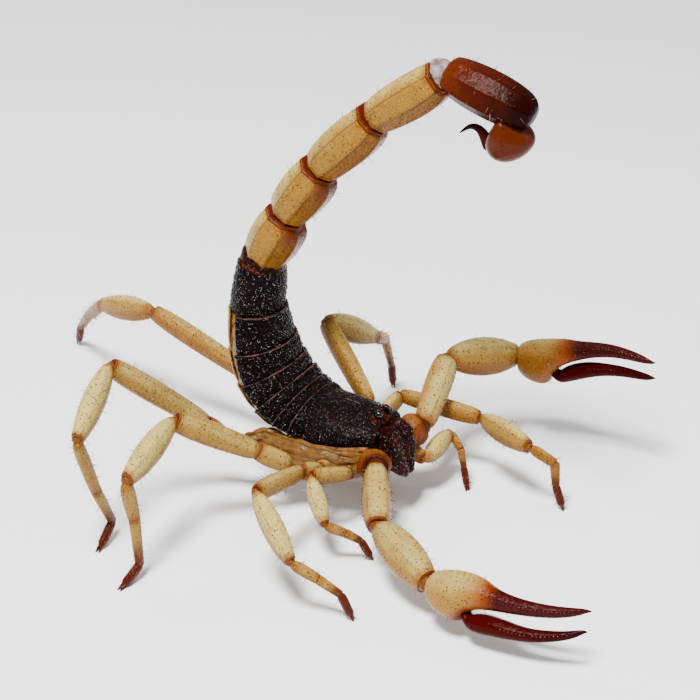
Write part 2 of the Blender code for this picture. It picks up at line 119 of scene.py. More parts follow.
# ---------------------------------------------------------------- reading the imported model


def ring_points(node):
    """The rings of points that a CAD node runs through, from one flat end to the other."""
    mesh = bmesh.new()
    mesh.from_mesh(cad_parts[node].data)
    bmesh.ops.remove_doubles(mesh, verts=mesh.verts, dist=WELD)
    bmesh.ops.dissolve_limit(mesh, angle_limit=FLAT, verts=mesh.verts, edges=mesh.edges)
    ring = list(max(mesh.faces, key=lambda face: len(face.verts)).verts)
    seen = set(ring)
    rings = []
    while ring:
        rings.append([v.co.copy() for v in ring])
        ring = {e.other_vert(v) for v in ring for e in v.link_edges} - seen
        ring = sorted(ring, key=lambda v: v.index)
        seen |= set(ring)
    mesh.free()
    return rings


def middle(points):
    """The mean of some points, and so also the middle of a box's two corners."""
    return sum(points, Vector()) / len(points)


def place_in(node, *shares):
    """A place in a node's box, as shares of the way from its low corner to its high one."""
    return Vector([a * (1 - share) + b * share for a, b, share in zip(*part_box(node), shares)])


def outward_rings(node, root):
    """The node's rings of points, from the end nearest root outwards."""
    rings = ring_points(node)
    if (middle(rings[0]) - root).length > (middle(rings[-1]) - root).length:
        rings.reverse()
    return rings


def axes_of(along, up):
    """Columns: sideways, up and along, square to each other."""
    along = along.normalized()
    side = up.cross(along).normalized()
    return Matrix((side, along.cross(side), along)).transposed()


def axes_along(segment):
    """A segment's own axes: sideways, up and along."""
    return axes_of(segment.end - segment.start, segment.up)


def ring_from(points, along, up):
    """The oval that points lie on, its up direction the given one laid square to along."""
    axes = axes_of(along, up)
    side, lift, _ = axes.transposed()
    across = [p.dot(side) for p in points]
    height = [p.dot(lift) for p in points]
    centre = middle(points)
    centre += side * ((min(across) + max(across)) / 2 - centre.dot(side))
    centre += lift * ((min(height) + max(height)) / 2 - centre.dot(lift))
    return Ring(centre, axes, (max(across) - min(across)) / 2, (max(height) - min(height)) / 2)


def plane_of(points):
    """The direction square to the plane of a ring, and the direction of its longest breadth."""
    spread = np.array([p - middle(points) for p in points])
    _, _, rows = np.linalg.svd(spread)
    return Vector(rows[2]), Vector(rows[0])


def segments_of(node, root):
    """The straight segments of a limb node, parted at its waists, from the end nearest root out."""
    rings = outward_rings(node, root)
    places = [middle(ring) for ring in rings]
    sizes = [sum((p - place).length for p in ring) for ring, place in zip(rings, places)]
    last = len(rings) - 1
    waists = [i for i in range(1, last) if sizes[i] < min(sizes[i - 1], sizes[i + 1])]
    joints = [0] + waists + [last]
    found = []
    for first, last in zip(joints, joints[1:]):
        along = places[last] - places[first]
        widest = max(range(first + 1, last), key=lambda i: sizes[i])
        _, up = plane_of(rings[widest])
        shape = ring_from(rings[widest], along, up if up.z > 0 else -up)
        lift = Vector(shape.axes.col[1])
        found.append(Segment(places[first], places[last], lift, shape.width, shape.height))
    return found


def level_ring(points, along, up=None):
    """The oval that points lie on, in their own plane. Up is the back's side if it isn't given."""
    normal, _ = plane_of(points)
    normal = normal if normal.dot(along) > 0 else -normal
    return ring_from(points, normal, up or back_of(normal))


def back_of(along):
    """The side of something in the body's middle plane that faces the way its back does."""
    return Vector((0, -along.z, along.y))


def path_of(node, root, up=None):
    """The ovals that a bent node runs through, each in its own plane."""
    rings = outward_rings(node, root)
    places = [middle(ring) for ring in rings]
    return [
        level_ring(points, places[min(i + 1, len(places) - 1)] - places[max(i - 1, 0)], up)
        for i, points in enumerate(rings)
    ]


def chain(nodes, root):
    """The segments of several limb nodes in order outwards, a list for each node."""
    found = []
    for node in nodes:
        found.append(segments_of(node, root))
        root = found[-1][-1].end
    return found


def scaled(ring, wide, high=None):
    """The ring with its width and height multiplied."""
    return Ring(ring.centre, ring.axes, ring.width * wide, ring.height * (wide if high is None else high))


def swollen(ring, more):
    """The ring, larger all round by mm."""
    return Ring(ring.centre, ring.axes, ring.width + more * MM, ring.height + more * MM)


def between(a, b, share, grow=1.0):
    """The ring a share of the way from one ring to another, grown."""
    turn = a.axes.to_quaternion().slerp(b.axes.to_quaternion(), min(max(share, 0), 1))
    width = (a.width + (b.width - a.width) * share) * grow
    height = (a.height + (b.height - a.height) * share) * grow
    return Ring(a.centre.lerp(b.centre, share), turn.to_matrix(), width, height)


# ---------------------------------------------------------------- modelling


LEAST_TURN = 1e-5  # a turn below this, in radians, is none


def select_only(piece):
    """Selects this object and no other, and makes it the active one."""
    bpy.ops.object.select_all(action="DESELECT")
    piece.select_set(True)
    bpy.context.view_layer.objects.active = piece


def carry(before, ring):
    """Moves, turns and resizes what is selected from one ring's place to the next one's."""
    bpy.ops.transform.translate(value=ring.centre - before.centre)
    axis, angle = (ring.axes @ before.axes.transposed()).to_quaternion().to_axis_angle()
    if angle > LEAST_TURN:
        bpy.ops.transform.rotate(
            value=angle, orient_axis="Z", orient_type="GLOBAL", orient_matrix_type="GLOBAL",
            orient_matrix=axis.to_track_quat("Z", "Y").to_matrix(),
            constraint_axis=(False, False, True), center_override=ring.centre,
        )
    bpy.ops.transform.resize(
        value=(ring.width / before.width, ring.height / before.height, 1), orient_type="GLOBAL",
        orient_matrix_type="GLOBAL", orient_matrix=ring.axes, center_override=ring.centre,
    )


def pick(piece, wanted):
    """Selects the points of the piece in edit mode that wanted() says yes to."""
    mesh = bmesh.from_edit_mesh(piece.data)
    for v in mesh.verts:
        v.select = wanted(v.co)
    mesh.select_flush_mode()
    bmesh.update_edit_mesh(piece.data)


def in_order(piece):
    """Puts the edges and faces in the order of their points, which the mesh tools leave to chance."""
    mesh = bmesh.new()
    mesh.from_mesh(piece.data)
    mesh.verts.index_update()
    count = len(mesh.verts)
    for parts in (mesh.edges, mesh.faces):
        parts.sort(key=lambda part: sum(
            index * count ** (2 - i) for i, index in enumerate(sorted(v.index for v in part.verts)[:3])))
    mesh.to_mesh(piece.data)
    mesh.free()
    ends = np.empty(len(piece.data.edges) * 2, np.int32)
    piece.data.edges.foreach_get("vertices", ends)
    piece.data.edges.foreach_set("vertices", np.sort(ends.reshape(-1, 2), axis=1).ravel())
    return piece


def turn_of(co):
    """How far round the first disc a point is, in degrees from its up side."""
    return math.degrees(math.atan2(co.x, co.y))


def draw(name, rings, sides=16, keels=(), reach=None):
    """Draws a piece out from a disc through rings. With reach, it keeps only that arc of them."""
    bpy.ops.object.select_all(action="DESELECT")
    fill = "NOTHING" if reach else "NGON"
    bpy.ops.mesh.primitive_circle_add(vertices=sides, radius=1, fill_type=fill)
    piece = bpy.context.object
    piece.name = piece.data.name = name
    bpy.ops.object.mode_set(mode="EDIT")
    bpy.context.tool_settings.mesh_select_mode = (True, False, False)
    half_step = 180 / sides
    for angle, push in keels:
        pick(piece, lambda co: abs(turn_of(co) - angle) <= half_step)
        bpy.ops.transform.resize(value=(push, push, 1), center_override=(0, 0, 0))
    if reach:
        pick(piece, lambda co: abs(turn_of(co)) > reach)
        bpy.ops.mesh.delete(type="VERT")
    bpy.ops.mesh.select_all(action="SELECT")
    before = UNIT_RING
    for i, ring in enumerate(rings):
        if i:
            bpy.ops.mesh.extrude_region()
        carry(before, ring)
        before = ring
    bpy.ops.mesh.select_all(action="SELECT")
    bpy.ops.mesh.normals_make_consistent(inside=False)
    bpy.ops.object.mode_set(mode="OBJECT")
    return in_order(piece)


def copy_of(node, name, swell=0.0):
    """A copy of a CAD node, its loose triangles merged and made four-sided, swollen by mm."""
    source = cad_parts[node]
    piece = bpy.data.objects.new(name, source.data.copy())
    piece.data.name = name
    piece.data.materials.clear()
    bpy.context.scene.collection.objects.link(piece)
    select_only(piece)
    bpy.ops.object.mode_set(mode="EDIT")
    bpy.ops.mesh.select_all(action="SELECT")
    bpy.ops.mesh.remove_doubles(threshold=WELD)
    bpy.ops.mesh.dissolve_limited(angle_limit=FLAT)
    bpy.ops.mesh.tris_convert_to_quads(
        face_threshold=math.radians(60), shape_threshold=math.radians(80))
    bpy.ops.transform.shrink_fatten(value=swell * MM)
    bpy.ops.object.mode_set(mode="OBJECT")
    return in_order(piece)


def apply_all(piece):
    """Applies the piece's modifiers, from the first on."""
    select_only(piece)
    for modifier in list(piece.modifiers):
        bpy.ops.object.modifier_apply(modifier=modifier.name)


def rounded(piece, levels=2):
    """Rounds the piece with subdivision, applied."""
    modifier = piece.modifiers.new("Rounding", "SUBSURF")
    modifier.levels = modifier.render_levels = levels
    apply_all(piece)
    bpy.ops.object.shade_smooth()
    return piece


def grained(piece, size, height, kind="VORONOI"):
    """Raises grains or folds of a size across, in mm, by a height, applied."""
    texture = bpy.data.textures.new(f"{piece.name} grain", kind)
    texture.noise_scale = size * MM
    modifier = piece.modifiers.new("Grain", "DISPLACE")
    modifier.texture = texture
    modifier.texture_coords = "LOCAL"
    modifier.strength = (-height if kind == "VORONOI" else height) * MM
    modifier.mid_level = 0.5
    apply_all(piece)
    return piece


def joined(name, pieces):
    """One piece from several."""
    bpy.ops.object.select_all(action="DESELECT")
    for piece in pieces:
        piece.select_set(True)
    bpy.context.view_layer.objects.active = pieces[0]
    if len(pieces) > 1:
        bpy.ops.object.join()
    pieces[0].name = pieces[0].data.name = name
    return pieces[0]


def lump(name, place, radius, segments=16, axes=Matrix.Identity(3), shape=(1, 1, 1)):
    """A ball pressed or drawn out along its axes."""
    bpy.ops.object.select_all(action="DESELECT")
    bpy.ops.mesh.primitive_uv_sphere_add(
        segments=segments, ring_count=segments * 3 // 4, radius=radius, location=place)
    piece = bpy.context.object
    piece.name = piece.data.name = name
    bpy.ops.object.transform_apply()
    bpy.ops.object.mode_set(mode="EDIT")
    bpy.ops.mesh.select_all(action="SELECT")
    bpy.ops.transform.resize(value=shape, orient_type="GLOBAL", orient_matrix_type="GLOBAL",
                             orient_matrix=axes, center_override=place)
    bpy.ops.object.mode_set(mode="OBJECT")
    bpy.ops.object.shade_smooth()
    return in_order(piece)


def flattened(piece):
    """Presses what would be under the floor into flats on it."""
    select_only(piece)
    bpy.ops.object.mode_set(mode="EDIT")
    pick(piece, lambda co: co.z < 0)
    bpy.ops.transform.resize(value=(1, 1, 0), center_override=(0, 0, 0))
    bpy.ops.object.mode_set(mode="OBJECT")
    return piece


def outline_rings(segment, outline):
    """The rings of a segment's outline at its place and size."""
    run = segment.end - segment.start
    axes = axes_along(segment)
    rings = []
    for share, step, breadth, *lift in outline:
        place = segment.start + run.normalized() * (share * run.length + step * MM)
        place += segment.up * sum(lift) * segment.height
        rings.append(Ring(place, axes, segment.width * breadth, segment.height * breadth))
    return rings


def barrel(name, segment, outline, sides=16, keels=()):
    """A limb segment drawn along its outline."""
    return draw(name, outline_rings(segment, outline), sides, keels)


def points_of(piece):
    """The places of the piece's points, a row for each."""
    flat = np.empty(len(piece.data.vertices) * 3, np.float32)
    piece.data.vertices.foreach_get("co", flat)
    return flat.reshape(-1, 3).astype(float)


def eased(values, low, high):
    """How far values are from low to high, 0 to 1, with soft ends."""
    share = np.clip((values - low) / (high - low), 0, 1)
    return share * share * (3 - 2 * share)


def mark(piece, **values):
    """Writes numbers on the piece's points, for its material to read."""
    count = len(piece.data.vertices)
    for name, numbers in values.items():
        layer = piece.data.attributes.new(name, "FLOAT", "POINT")
        layer.data.foreach_set("value", np.broadcast_to(np.asarray(numbers, np.float32), count).copy())


def around(points, segment):
    """How far along its segment each point is, and the way out from the segment's line to it."""
    run = np.array(segment.end - segment.start)
    offset = points - np.array(segment.start)
    along = offset @ run / (run @ run)
    out = offset - along[:, None] * run
    return along, out / np.maximum(np.linalg.norm(out, axis=1), 1e-9)[:, None]


def toward_lit_side(out, segment, lit_side):
    """How far each way out from a segment points to its lit side, -1 to 1, for painted highlight and shade.
    """
    run = segment.end - segment.start
    return out @ np.array((lit_side - lit_side.project(run)).normalized())


def mark_segment(piece, segment, lit_side, shade=0.0, paler=0.0, hem_scale=2.0):
    """Marks how near each point is to an end and to the far rim, in mm, and how lit its side is."""
    along, out = around(points_of(piece), segment)
    length = (segment.end - segment.start).length / MM
    ends = np.clip(np.minimum(along, 1 - along), 0, 1) * length
    # pale: how far the point faces the lit side, which the material paints as highlight and shade
    pale = toward_lit_side(out, segment, lit_side) + paler
    mark(piece, ends=ends, hem=(1 - along) * length * hem_scale, pale=pale, shade=shade)


def mark_plain(piece, shade, ends=0.0, hem=2.0, pale=0.3):
    """Marks a small piece with the same numbers all over, pale setting how much painted highlight it gets.
    """
    mark(piece, ends=ends, hem=hem, pale=pale, shade=shade)


def settle(piece, finish, slot, *nodes):
    """Gives the piece its material and body, hides the CAD nodes it stands for. The slot is not used."""
    piece.data.materials.clear()
    piece.data.materials.append(finish)
    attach(piece, "root")
    if nodes:
        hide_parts(*nodes)
    return piece


# ---------------------------------------------------------------- small things in their hundreds


# OFBake: a grain's patch as a share of the map, and how many hosts' unwraps lie side by side on it.
BAKE_PATCH = 0.003
BAKE_CELLS = 8
# The cells that each part takes: a pincer's four, a leg's three, and the tail's and the trunk's first.
PINCER_CELLS, LEG_CELLS = 4, 3
LEGS_CELL, TAIL_CELL, TRUNK_CELL = 8, 50, 56
# A cell is as long as this many grains of a row, and as wide as this many degrees round their host.
ROW_STEP, TURN_STEP = 200, 400
# Roots lie between these shares of their host's length, and not where it faces its own ends.
ROOTS_FROM, ROOTS_TO, LEAST_OUTWARD = 0.04, 0.97, 0.2
# How far a bristle strays from its heading, and between what shares its length and a grain's size vary.
STRAY = 0.22
BRISTLE_SIZES = (0.6, 1.35)
GRAIN_SIZES = (0.7, 1.2)
# Each part's bristles: their length and thickness in mm, and how far they lean towards its tip.
BRISTLES = {
    "trunk": (1.5, 0.022, 0.3), "tail": (1.0, 0.042, 0.35), "pincer": (0.9, 0.042, 0.3),
    "leg": (0.85, 0.040, 0.35),
}
# A bristle whose tip would be nearer to the floor than this is left out.
FLOOR_GAP = 0.1 * MM
# A bristle is a three-sided spike, a little narrower half way up, with its point at a height of one.
CORNERS = [(math.cos(a), math.sin(a)) for a in (0, 2.09, 4.19)]
BRISTLE_POINTS = np.array(
    [(x, y, 0) for x, y in CORNERS] + [(0.72 * x, 0.72 * y, 0.5) for x, y in CORNERS] + [(0, 0, 1)])
BRISTLE_FACES = [(0, 2, 1)] + [(i, (i + 1) % 3, 3 + (i + 1) % 3, 3 + i) for i in range(3)]
BRISTLE_FACES += [(3 + i, 3 + (i + 1) % 3, 6) for i in range(3)]

# A root: a place on the skin, the way out of it, the way along its host, and its place on the unwrap.
Root = namedtuple("Root", "place out along unwrap")


def on_unwrap(cell, across, along):
    """A place on the map, from shares of the way across and up a cell."""
    return (cell % BAKE_CELLS + across) / BAKE_CELLS, (cell // BAKE_CELLS + along) / BAKE_CELLS


def roots_on(piece, segment, per_square_mm, cell, wanted=None):
    """Roots strewn over a piece. Its unwrap is a cylinder round the segment, in a cell of its own."""
    mesh = piece.data
    count = len(mesh.polygons)
    centres, normals, areas = np.empty(count * 3), np.empty(count * 3), np.empty(count)
    mesh.polygons.foreach_get("center", centres)
    mesh.polygons.foreach_get("normal", normals)
    mesh.polygons.foreach_get("area", areas)
    centres, normals = centres.reshape(-1, 3), normals.reshape(-1, 3)
    along, out = around(centres, segment)
    outward = np.sum(normals * out, axis=1)
    keep = (along > ROOTS_FROM) & (along < ROOTS_TO) & (outward > LEAST_OUTWARD)
    if wanted is not None:
        keep &= wanted(along, out)
    weight = areas * keep
    wanted_count = int(weight.sum() / MM**2 * per_square_mm)
    picks = chance.choice(count, wanted_count, p=weight / weight.sum())
    run = segment.end - segment.start
    up, side = np.array(segment.up), np.array(run.cross(segment.up).normalized())
    found = []
    for i in picks:
        turn = math.atan2(out[i] @ side, out[i] @ up) / math.tau + 0.5
        unwrap = on_unwrap(cell, 0.05 + 0.9 * turn, along[i])
        found.append(Root(Vector(centres[i]), Vector(normals[i]), run.normalized(), unwrap))
    return found


def strewn(name, shape, faces, turns, places, unwraps):
    """One mesh of many like shapes, each with its own turn and size, place and patch of the unwrap."""
    count, corners = len(places), len(shape)
    turned = np.einsum("nij,kj->nki", np.array(turns), shape) + np.array(places)[:, None]
    all_faces = [tuple(c + i * corners for c in face) for i in range(count) for face in faces]
    mesh = bpy.data.meshes.new(name)
    mesh.from_pydata(turned.reshape(-1, 3).tolist(), [], all_faces)
    patch = shape[:, :2] / np.abs(shape[:, :2]).max() * BAKE_PATCH / 2
    owners = np.empty(len(mesh.loops), np.int32)
    mesh.loops.foreach_get("vertex_index", owners)
    layer = mesh.uv_layers.new(name="OFBake")
    spots = np.array(unwraps)[owners // corners] + patch[owners % corners]
    layer.data.foreach_set("uv", spots.ravel())
    piece = bpy.data.objects.new(name, mesh)
    bpy.context.scene.collection.objects.link(piece)
    return piece


def bristles(name, roots, part, finishes):
    """Stiff hairs that stand out of the cuticle and lean towards the tip of the limb."""
    length, thickness, lean = BRISTLES[part]
    turns, kept = [], []
    for root in roots:
        stray = Vector(chance.normal(0, STRAY, 3))
        heading = (root.out + root.along * lean + stray).normalized()
        reach = length * chance.uniform(*BRISTLE_SIZES)
        if (root.place + heading * reach * MM).z < FLOOR_GAP:
            continue
        axes = np.array(axes_of(heading, root.along))
        turns.append(axes * (np.array([thickness, thickness, reach]) * MM))
        kept.append(root)
    places, unwraps = [root.place for root in kept], [root.unwrap for root in kept]
    piece = strewn(name, BRISTLE_POINTS, BRISTLE_FACES, turns, places, unwraps)
    settle(piece, finishes["bristle"], "amber_cuticle")


def grains(name, spots, radius, finishes, slot):
    """Low round grains of a radius in mm, one at each (place, place on the unwrap)."""
    start = lump("grain", Vector(), 1.0, 6)
    shape = points_of(start)
    faces = [tuple(face.vertices) for face in start.data.polygons]
    bpy.data.objects.remove(start)
    sizes = radius * MM * chance.uniform(*GRAIN_SIZES, len(spots))
    turns = [np.eye(3) * size for size in sizes]
    piece = strewn(name, shape, faces, turns, *zip(*spots))
    for face in piece.data.polygons:
        face.use_smooth = True
    settle(piece, finishes["bead"], slot)


def spots_of(roots):
    """The places of roots on the skin and on the unwrap."""
    return [(root.place, root.unwrap) for root in roots]


def keel_spots(rings, angle, spacing, cell, stand):
    """Places spaced in mm along a line at an angle round rings, a share of their radius out."""
    spots = []
    turn = math.radians(angle)
    for near, far in zip(rings, rings[1:]):
        steps = max(1, round((far.centre - near.centre).length / MM / spacing))
        for i in range(steps):
            ring = between(near, far, i / steps)
            side, up, _ = ring.axes.transposed()
            outward = side * math.sin(turn) * ring.width + up * math.cos(turn) * ring.height
            unwrap = on_unwrap(cell, angle / TURN_STEP + 0.5, len(spots) / ROW_STEP + 0.1)
            spots.append((ring.centre + outward * stand, unwrap))
    return spots


# ---------------------------------------------------------------- materials


def colour(text):
    """A hex colour, sRGB, as the linear colour that a shader takes."""
    values = [int(text[i:i + 2], 16) / 255 for i in (1, 3, 5)]
    return (*(v / 12.92 if v <= 0.04045 else ((v + 0.055) / 1.055) ** 2.4 for v in values), 1)


def plain(value):
    """What a socket takes: a hex colour turned linear, or the value as it is."""
    return colour(value) if isinstance(value, str) else value


def per_metre(mm):
    """The texture scale whose features are that many millimetres across."""
    return 1 / (mm * MM)


def add(tree, kind, inputs=None, out=0, **settings):
    """Adds a node and returns one output. An input is a number, a hex colour or another output."""
    node = tree.nodes.new(kind)
    for key, value in settings.items():
        setattr(node, key, value)
    for key, value in (inputs or {}).items():
        if isinstance(value, bpy.types.NodeSocket):
            tree.links.new(value, node.inputs[key])
        else:
            node.inputs[key].default_value = plain(value)
    return node.outputs[out]


def new_material(name, **shader):
    """A material, its node tree and its shader, with values set on the shader's own sockets."""
    made = bpy.data.materials.new(name)
    made.use_nodes = True
    principled = made.node_tree.nodes["Principled BSDF"]
    for key, value in shader.items():
        principled.inputs[key.replace("_", " ")].default_value = plain(value)
    return made, made.node_tree, principled


def painted(tree, base, *coats):
    """Lays colours over a base, each where a number runs from none to full, as strong as it says."""
    tone = base
    for value, none, full, strength, top in coats:
        share = add(tree, "ShaderNodeMapRange", {0: value, 1: none, 2: full, 4: strength},
                    interpolation_type="SMOOTHSTEP")
        tone = add(tree, "ShaderNodeMix", {0: share, 6: tone, 7: top}, out=2, data_type="RGBA")
    return tone


def bumped(tree, principled, *layers):
    """Chains bumps, each of a height map and its depth in mm, on to the shader."""
    normal = None
    for height, depth in layers:
        inputs = {"Height": height, "Distance": depth * MM, "Strength": 1.0}
        if normal:
            inputs["Normal"] = normal
        normal = add(tree, "ShaderNodeBump", inputs)
    tree.links.new(normal, principled.inputs["Normal"])


def specks(tree, place, size, radius, share):
    """Small round spots, one in a share of the cells of that size, each a radius across in cells."""
    spots = {"Vector": place, "Scale": per_metre(size)}
    distance = add(tree, "ShaderNodeTexVoronoi", spots)
    kind = add(tree, "ShaderNodeTexVoronoi", spots, out="Color")
    spot = add(tree, "ShaderNodeMapRange", {0: distance, 1: radius, 2: radius * 0.55},
               interpolation_type="SMOOTHSTEP")
    lucky = add(tree, "ShaderNodeSeparateColor", {0: kind})
    some = add(tree, "ShaderNodeMath", {0: lucky, 1: share}, operation="LESS_THAN")
    return add(tree, "ShaderNodeMath", {0: spot, 1: some}, operation="MULTIPLY")


def straw_cuticle(name, pale, body, amber, rim):
    """Chitin of the limbs and tail, tanned hard as it dried after the moult.

    The eye gets horn: a satin straw, a little see-through, amber towards the joints, with a tanned
    red-brown hem where two segments meet. Painted light lies over it: a painted highlight makes it
    palest on the side turned towards the light, and painted shade makes it amber on the underside. Its
    clouds, 2.6 mm across, and its mottling, 0.35 and 0.16 mm, are at about their real size. Its
    pebbles and the dark sockets of its hairs are drawn 0.3 and 0.2 mm across, so that they show;
    the real ones are about 0.1 and 0.05 mm.
    """
    made, tree, principled = new_material(
        name, Roughness=0.17, IOR=1.53, Specular_IOR_Level=0.08, Subsurface_Weight=0.08,
        Subsurface_Radius=(1.0, 0.5, 0.2), Subsurface_Scale=0.5 * MM,
    )
    place = add(tree, "ShaderNodeTexCoord", out="Object")
    cloud, fine, stipple = (
        add(tree, "ShaderNodeTexNoise", {"Vector": place, "Scale": per_metre(mm), "Detail": detail})
        for mm, detail in ((2.6, 3.0), (0.35, 3.0), (0.16, 2.0))
    )
    ends, hem, side, shade, tip = (
        add(tree, "ShaderNodeAttribute", out="Fac", attribute_name=key)
        for key in ("ends", "hem", "pale", "shade", "tip")
    )
    uneven = add(tree, "ShaderNodeMath", {0: cloud, 1: 1.8, 2: ends}, operation="MULTIPLY_ADD")
    # pale: how far a point faces the lit side; with clouds it places the painted highlight and shade
    lit_patches = add(tree, "ShaderNodeMath", {0: cloud, 1: 0.9, 2: side}, operation="MULTIPLY_ADD")
    spots = specks(tree, place, 0.50, 0.27, 0.66)
    tone = painted(
        tree, body,
        # Painted highlight on the side turned to the light, then painted shade in amber on the far side
        (lit_patches, 0.90, 1.60, 0.9, pale),
        (lit_patches, 0.65, -0.20, 0.85, amber),
        (uneven, 2.3, 1.0, 0.9, amber),
        (fine, 0.52, 0.68, 0.40, amber),
        (stipple, 0.50, 0.64, 0.35, amber),
        (stipple, 0.44, 0.32, 0.35, pale),
        (shade, 0.0, 1.0, 1.0, rim),
        (hem, 0.60, 0.48, 0.85, rim),
        (hem, 0.34, 0.26, 0.75, amber),
        (hem, 0.12, 0.06, 0.90, rim),
        (tip, 0.28, 0.44, 1.0, "#7e3204"),
        (tip, 0.38, 0.50, 1.0, "#340201"),
        (spots, 0.0, 1.0, 0.9, "#200a03"),
    )
    tree.links.new(tone, principled.inputs["Base Color"])
    pebble = add(tree, "ShaderNodeTexVoronoi", {"Vector": place, "Scale": per_metre(0.30)})
    bumped(tree, principled, (cloud, 0.12), (fine, 0.15), (pebble, -0.06), (spots, -0.05))
    return made


def dark_cuticle(name, body, warm, hem, grain, streaks=0.0):
    """Thick chitin of the back plates, shield and jaws, grown in granules and tanned black-brown.

    The eye gets a dark ground with a small light on each granule, rusty where it wears thin, and a
    paler line along the crest of each rear hem, partly the hem's own colour and partly a painted
    highlight on its lip. Its granules are drawn 0.36 to 0.46 mm apart, so that they show; the real
    ones are about half as far. Its clouds, 2.2 mm across, and its flecks, 0.5 mm, are at about their
    real size.
    """
    made, tree, principled = new_material(name, Roughness=0.22, IOR=1.5, Specular_IOR_Level=0.04)
    place = add(tree, "ShaderNodeTexCoord", out="Object")
    cloud = add(tree, "ShaderNodeTexNoise", {"Vector": place, "Scale": per_metre(2.2), "Detail": 3.0})
    fleck = add(tree, "ShaderNodeTexNoise",
                {"Vector": place, "Scale": per_metre(0.5), "Detail": 4.0, "Distortion": 1.5})
    bead = add(tree, "ShaderNodeTexVoronoi", {"Vector": place, "Scale": per_metre(grain)})
    hump = add(tree, "ShaderNodeMapRange", {0: bead, 1: 0.5, 2: 0.0}, interpolation_type="SMOOTHSTEP")
    fine = add(tree, "ShaderNodeTexNoise", {"Vector": place, "Scale": per_metre(0.12)})
    edge, rust = (
        add(tree, "ShaderNodeAttribute", out="Fac", attribute_name=key) for key in ("rim", "rust")
    )
    rusty = add(tree, "ShaderNodeMath", {0: fleck, 1: rust}, operation="MULTIPLY")
    # The paler line on the crest of each rear hem: partly its own colour, partly a painted highlight
    broken = add(tree, "ShaderNodeMath", {0: cloud, 1: 0.35, 2: edge}, operation="MULTIPLY_ADD")
    broken = add(tree, "ShaderNodeMath", {0: broken, 1: 0.14}, operation="SUBTRACT")
    tone = painted(
        tree, body,
        (cloud, 0.46, 0.74, 0.6, warm),
        (hump, 0.6, 1.0, 0.35, warm),
        (rusty, 0.34, 0.62, 0.85, "#5c2410"),
        (fleck, 0.70 - 0.06 * streaks, 0.76 - 0.06 * streaks, 0.6 * min(streaks, 1), "#6a4c34"),
        (broken, 0.14, 0.04, 0.55, hem),
    )
    tree.links.new(tone, principled.inputs["Base Color"])
    bumped(tree, principled, (hump, 0.13), (fine, 0.02))
    return made


def glossy_cuticle(name, light, middle_tone, deep, pits, shine):
    """Thick chitin of the fingers, last tail joint, bulb and sting, polished by rubbing.

    The eye gets a smooth wine red or chestnut, light at the base and near black at the far end,
    where it is thickest. Its clouds, 1.6 mm across, are at about their real size. Its pits are
    drawn 0.25 mm across, so that they show; the real ones are about 0.05 mm.
    """
    made, tree, principled = new_material(name, Roughness=0.17, IOR=1.53, Specular_IOR_Level=shine)
    place = add(tree, "ShaderNodeTexCoord", out="Object")
    cloud, fine = (
        add(tree, "ShaderNodeTexNoise", {"Vector": place, "Scale": per_metre(mm), "Detail": 3.0})
        for mm in (1.6, 0.3)
    )
    reach = add(tree, "ShaderNodeAttribute", out="Fac", attribute_name="along")
    along = add(tree, "ShaderNodeMath", {0: cloud, 1: 0.4, 2: reach}, operation="MULTIPLY_ADD")
    spots = specks(tree, place, 0.6, 0.22, pits)
    tone = painted(
        tree, light,
        (along, 0.15, 0.62, 1.0, middle_tone),
        (along, 0.62, 1.15, 1.0, deep),
        (fine, 0.55, 0.72, 0.35, deep),
        (spots, 0.0, 1.0, 0.6, "#1a0503"),
    )
    tree.links.new(tone, principled.inputs["Base Color"])
    bumped(tree, principled, (cloud, 0.14), (fine, 0.06), (spots, 0.06))
    return made


def soft_skin(name, body, deep):
    """Chitin left untanned in the joints and flanks, which folds as the animal moves.

    The eye gets damp, creased skin, lighter on its ridges, with painted shade darkening its creases.
    Its folds are drawn about 0.9 mm across, so that they show; the real ones are about half that.
    """
    made, tree, principled = new_material(
        name, Roughness=0.24, IOR=1.45, Specular_IOR_Level=0.12, Subsurface_Weight=0.15,
        Subsurface_Radius=(1.0, 0.5, 0.25), Subsurface_Scale=0.5 * MM,
    )
    place = add(tree, "ShaderNodeTexCoord", out="Object")
    drawn = add(tree, "ShaderNodeMapping", {"Vector": place, "Scale": (1.0, 0.7, 1.3)})
    folds = add(tree, "ShaderNodeTexNoise", {"Vector": drawn, "Scale": per_metre(0.9), "Detail": 4.0})
    fine = add(tree, "ShaderNodeTexNoise", {"Vector": drawn, "Scale": per_metre(0.3)})
    # Painted shade: the deep colour lies where the folds' bump is low, in the creases
    tone = painted(tree, deep, (folds, 0.30, 0.62, 1.0, body), (fine, 0.6, 0.7, 0.3, deep))
    tree.links.new(tone, principled.inputs["Base Color"])
    bumped(tree, principled, (folds, 0.22), (fine, 0.04))
    return made


# ---------------------------------------------------------------- limbs


# The roller of a hinge: its shape, and its radius as a share of its segment's lesser half width.
KNUCKLE_SHAPE = (1.12, 1.0, 0.85)
KNUCKLE_SIZE, ANKLE_KNUCKLE_SIZE = 0.56, 0.75
# How dark the line of a keel is tinted, and from how many degrees beside it the tint fades.
LIMB_KEEL_TINT, LIMB_KEEL_FADE = 0.30, (2.0, 9.0)
TAIL_KEEL_TINT, TAIL_KEEL_FADE = 0.5, (1.5, 5.0)
# A foot's two claws: how far each stands from its middle and how thick it is at the root, in mm,
# where on the foot it starts, and how much it narrows to its point.
CLAW_SPREAD = 0.16
CLAW_RADIUS = 0.31
CLAW_START = 0.72
CLAW_NARROWING = 0.88
CLAW_RINGS = 7
# Hairs for each square mm of the limbs.
THIGH_HAIRS, KNEE_HAIRS, FOOT_HAIRS, ARM_HAIRS, HAND_HAIRS, TAIL_HAIRS = 0.55, 0.6, 1.1, 0.3, 0.22, 0.28


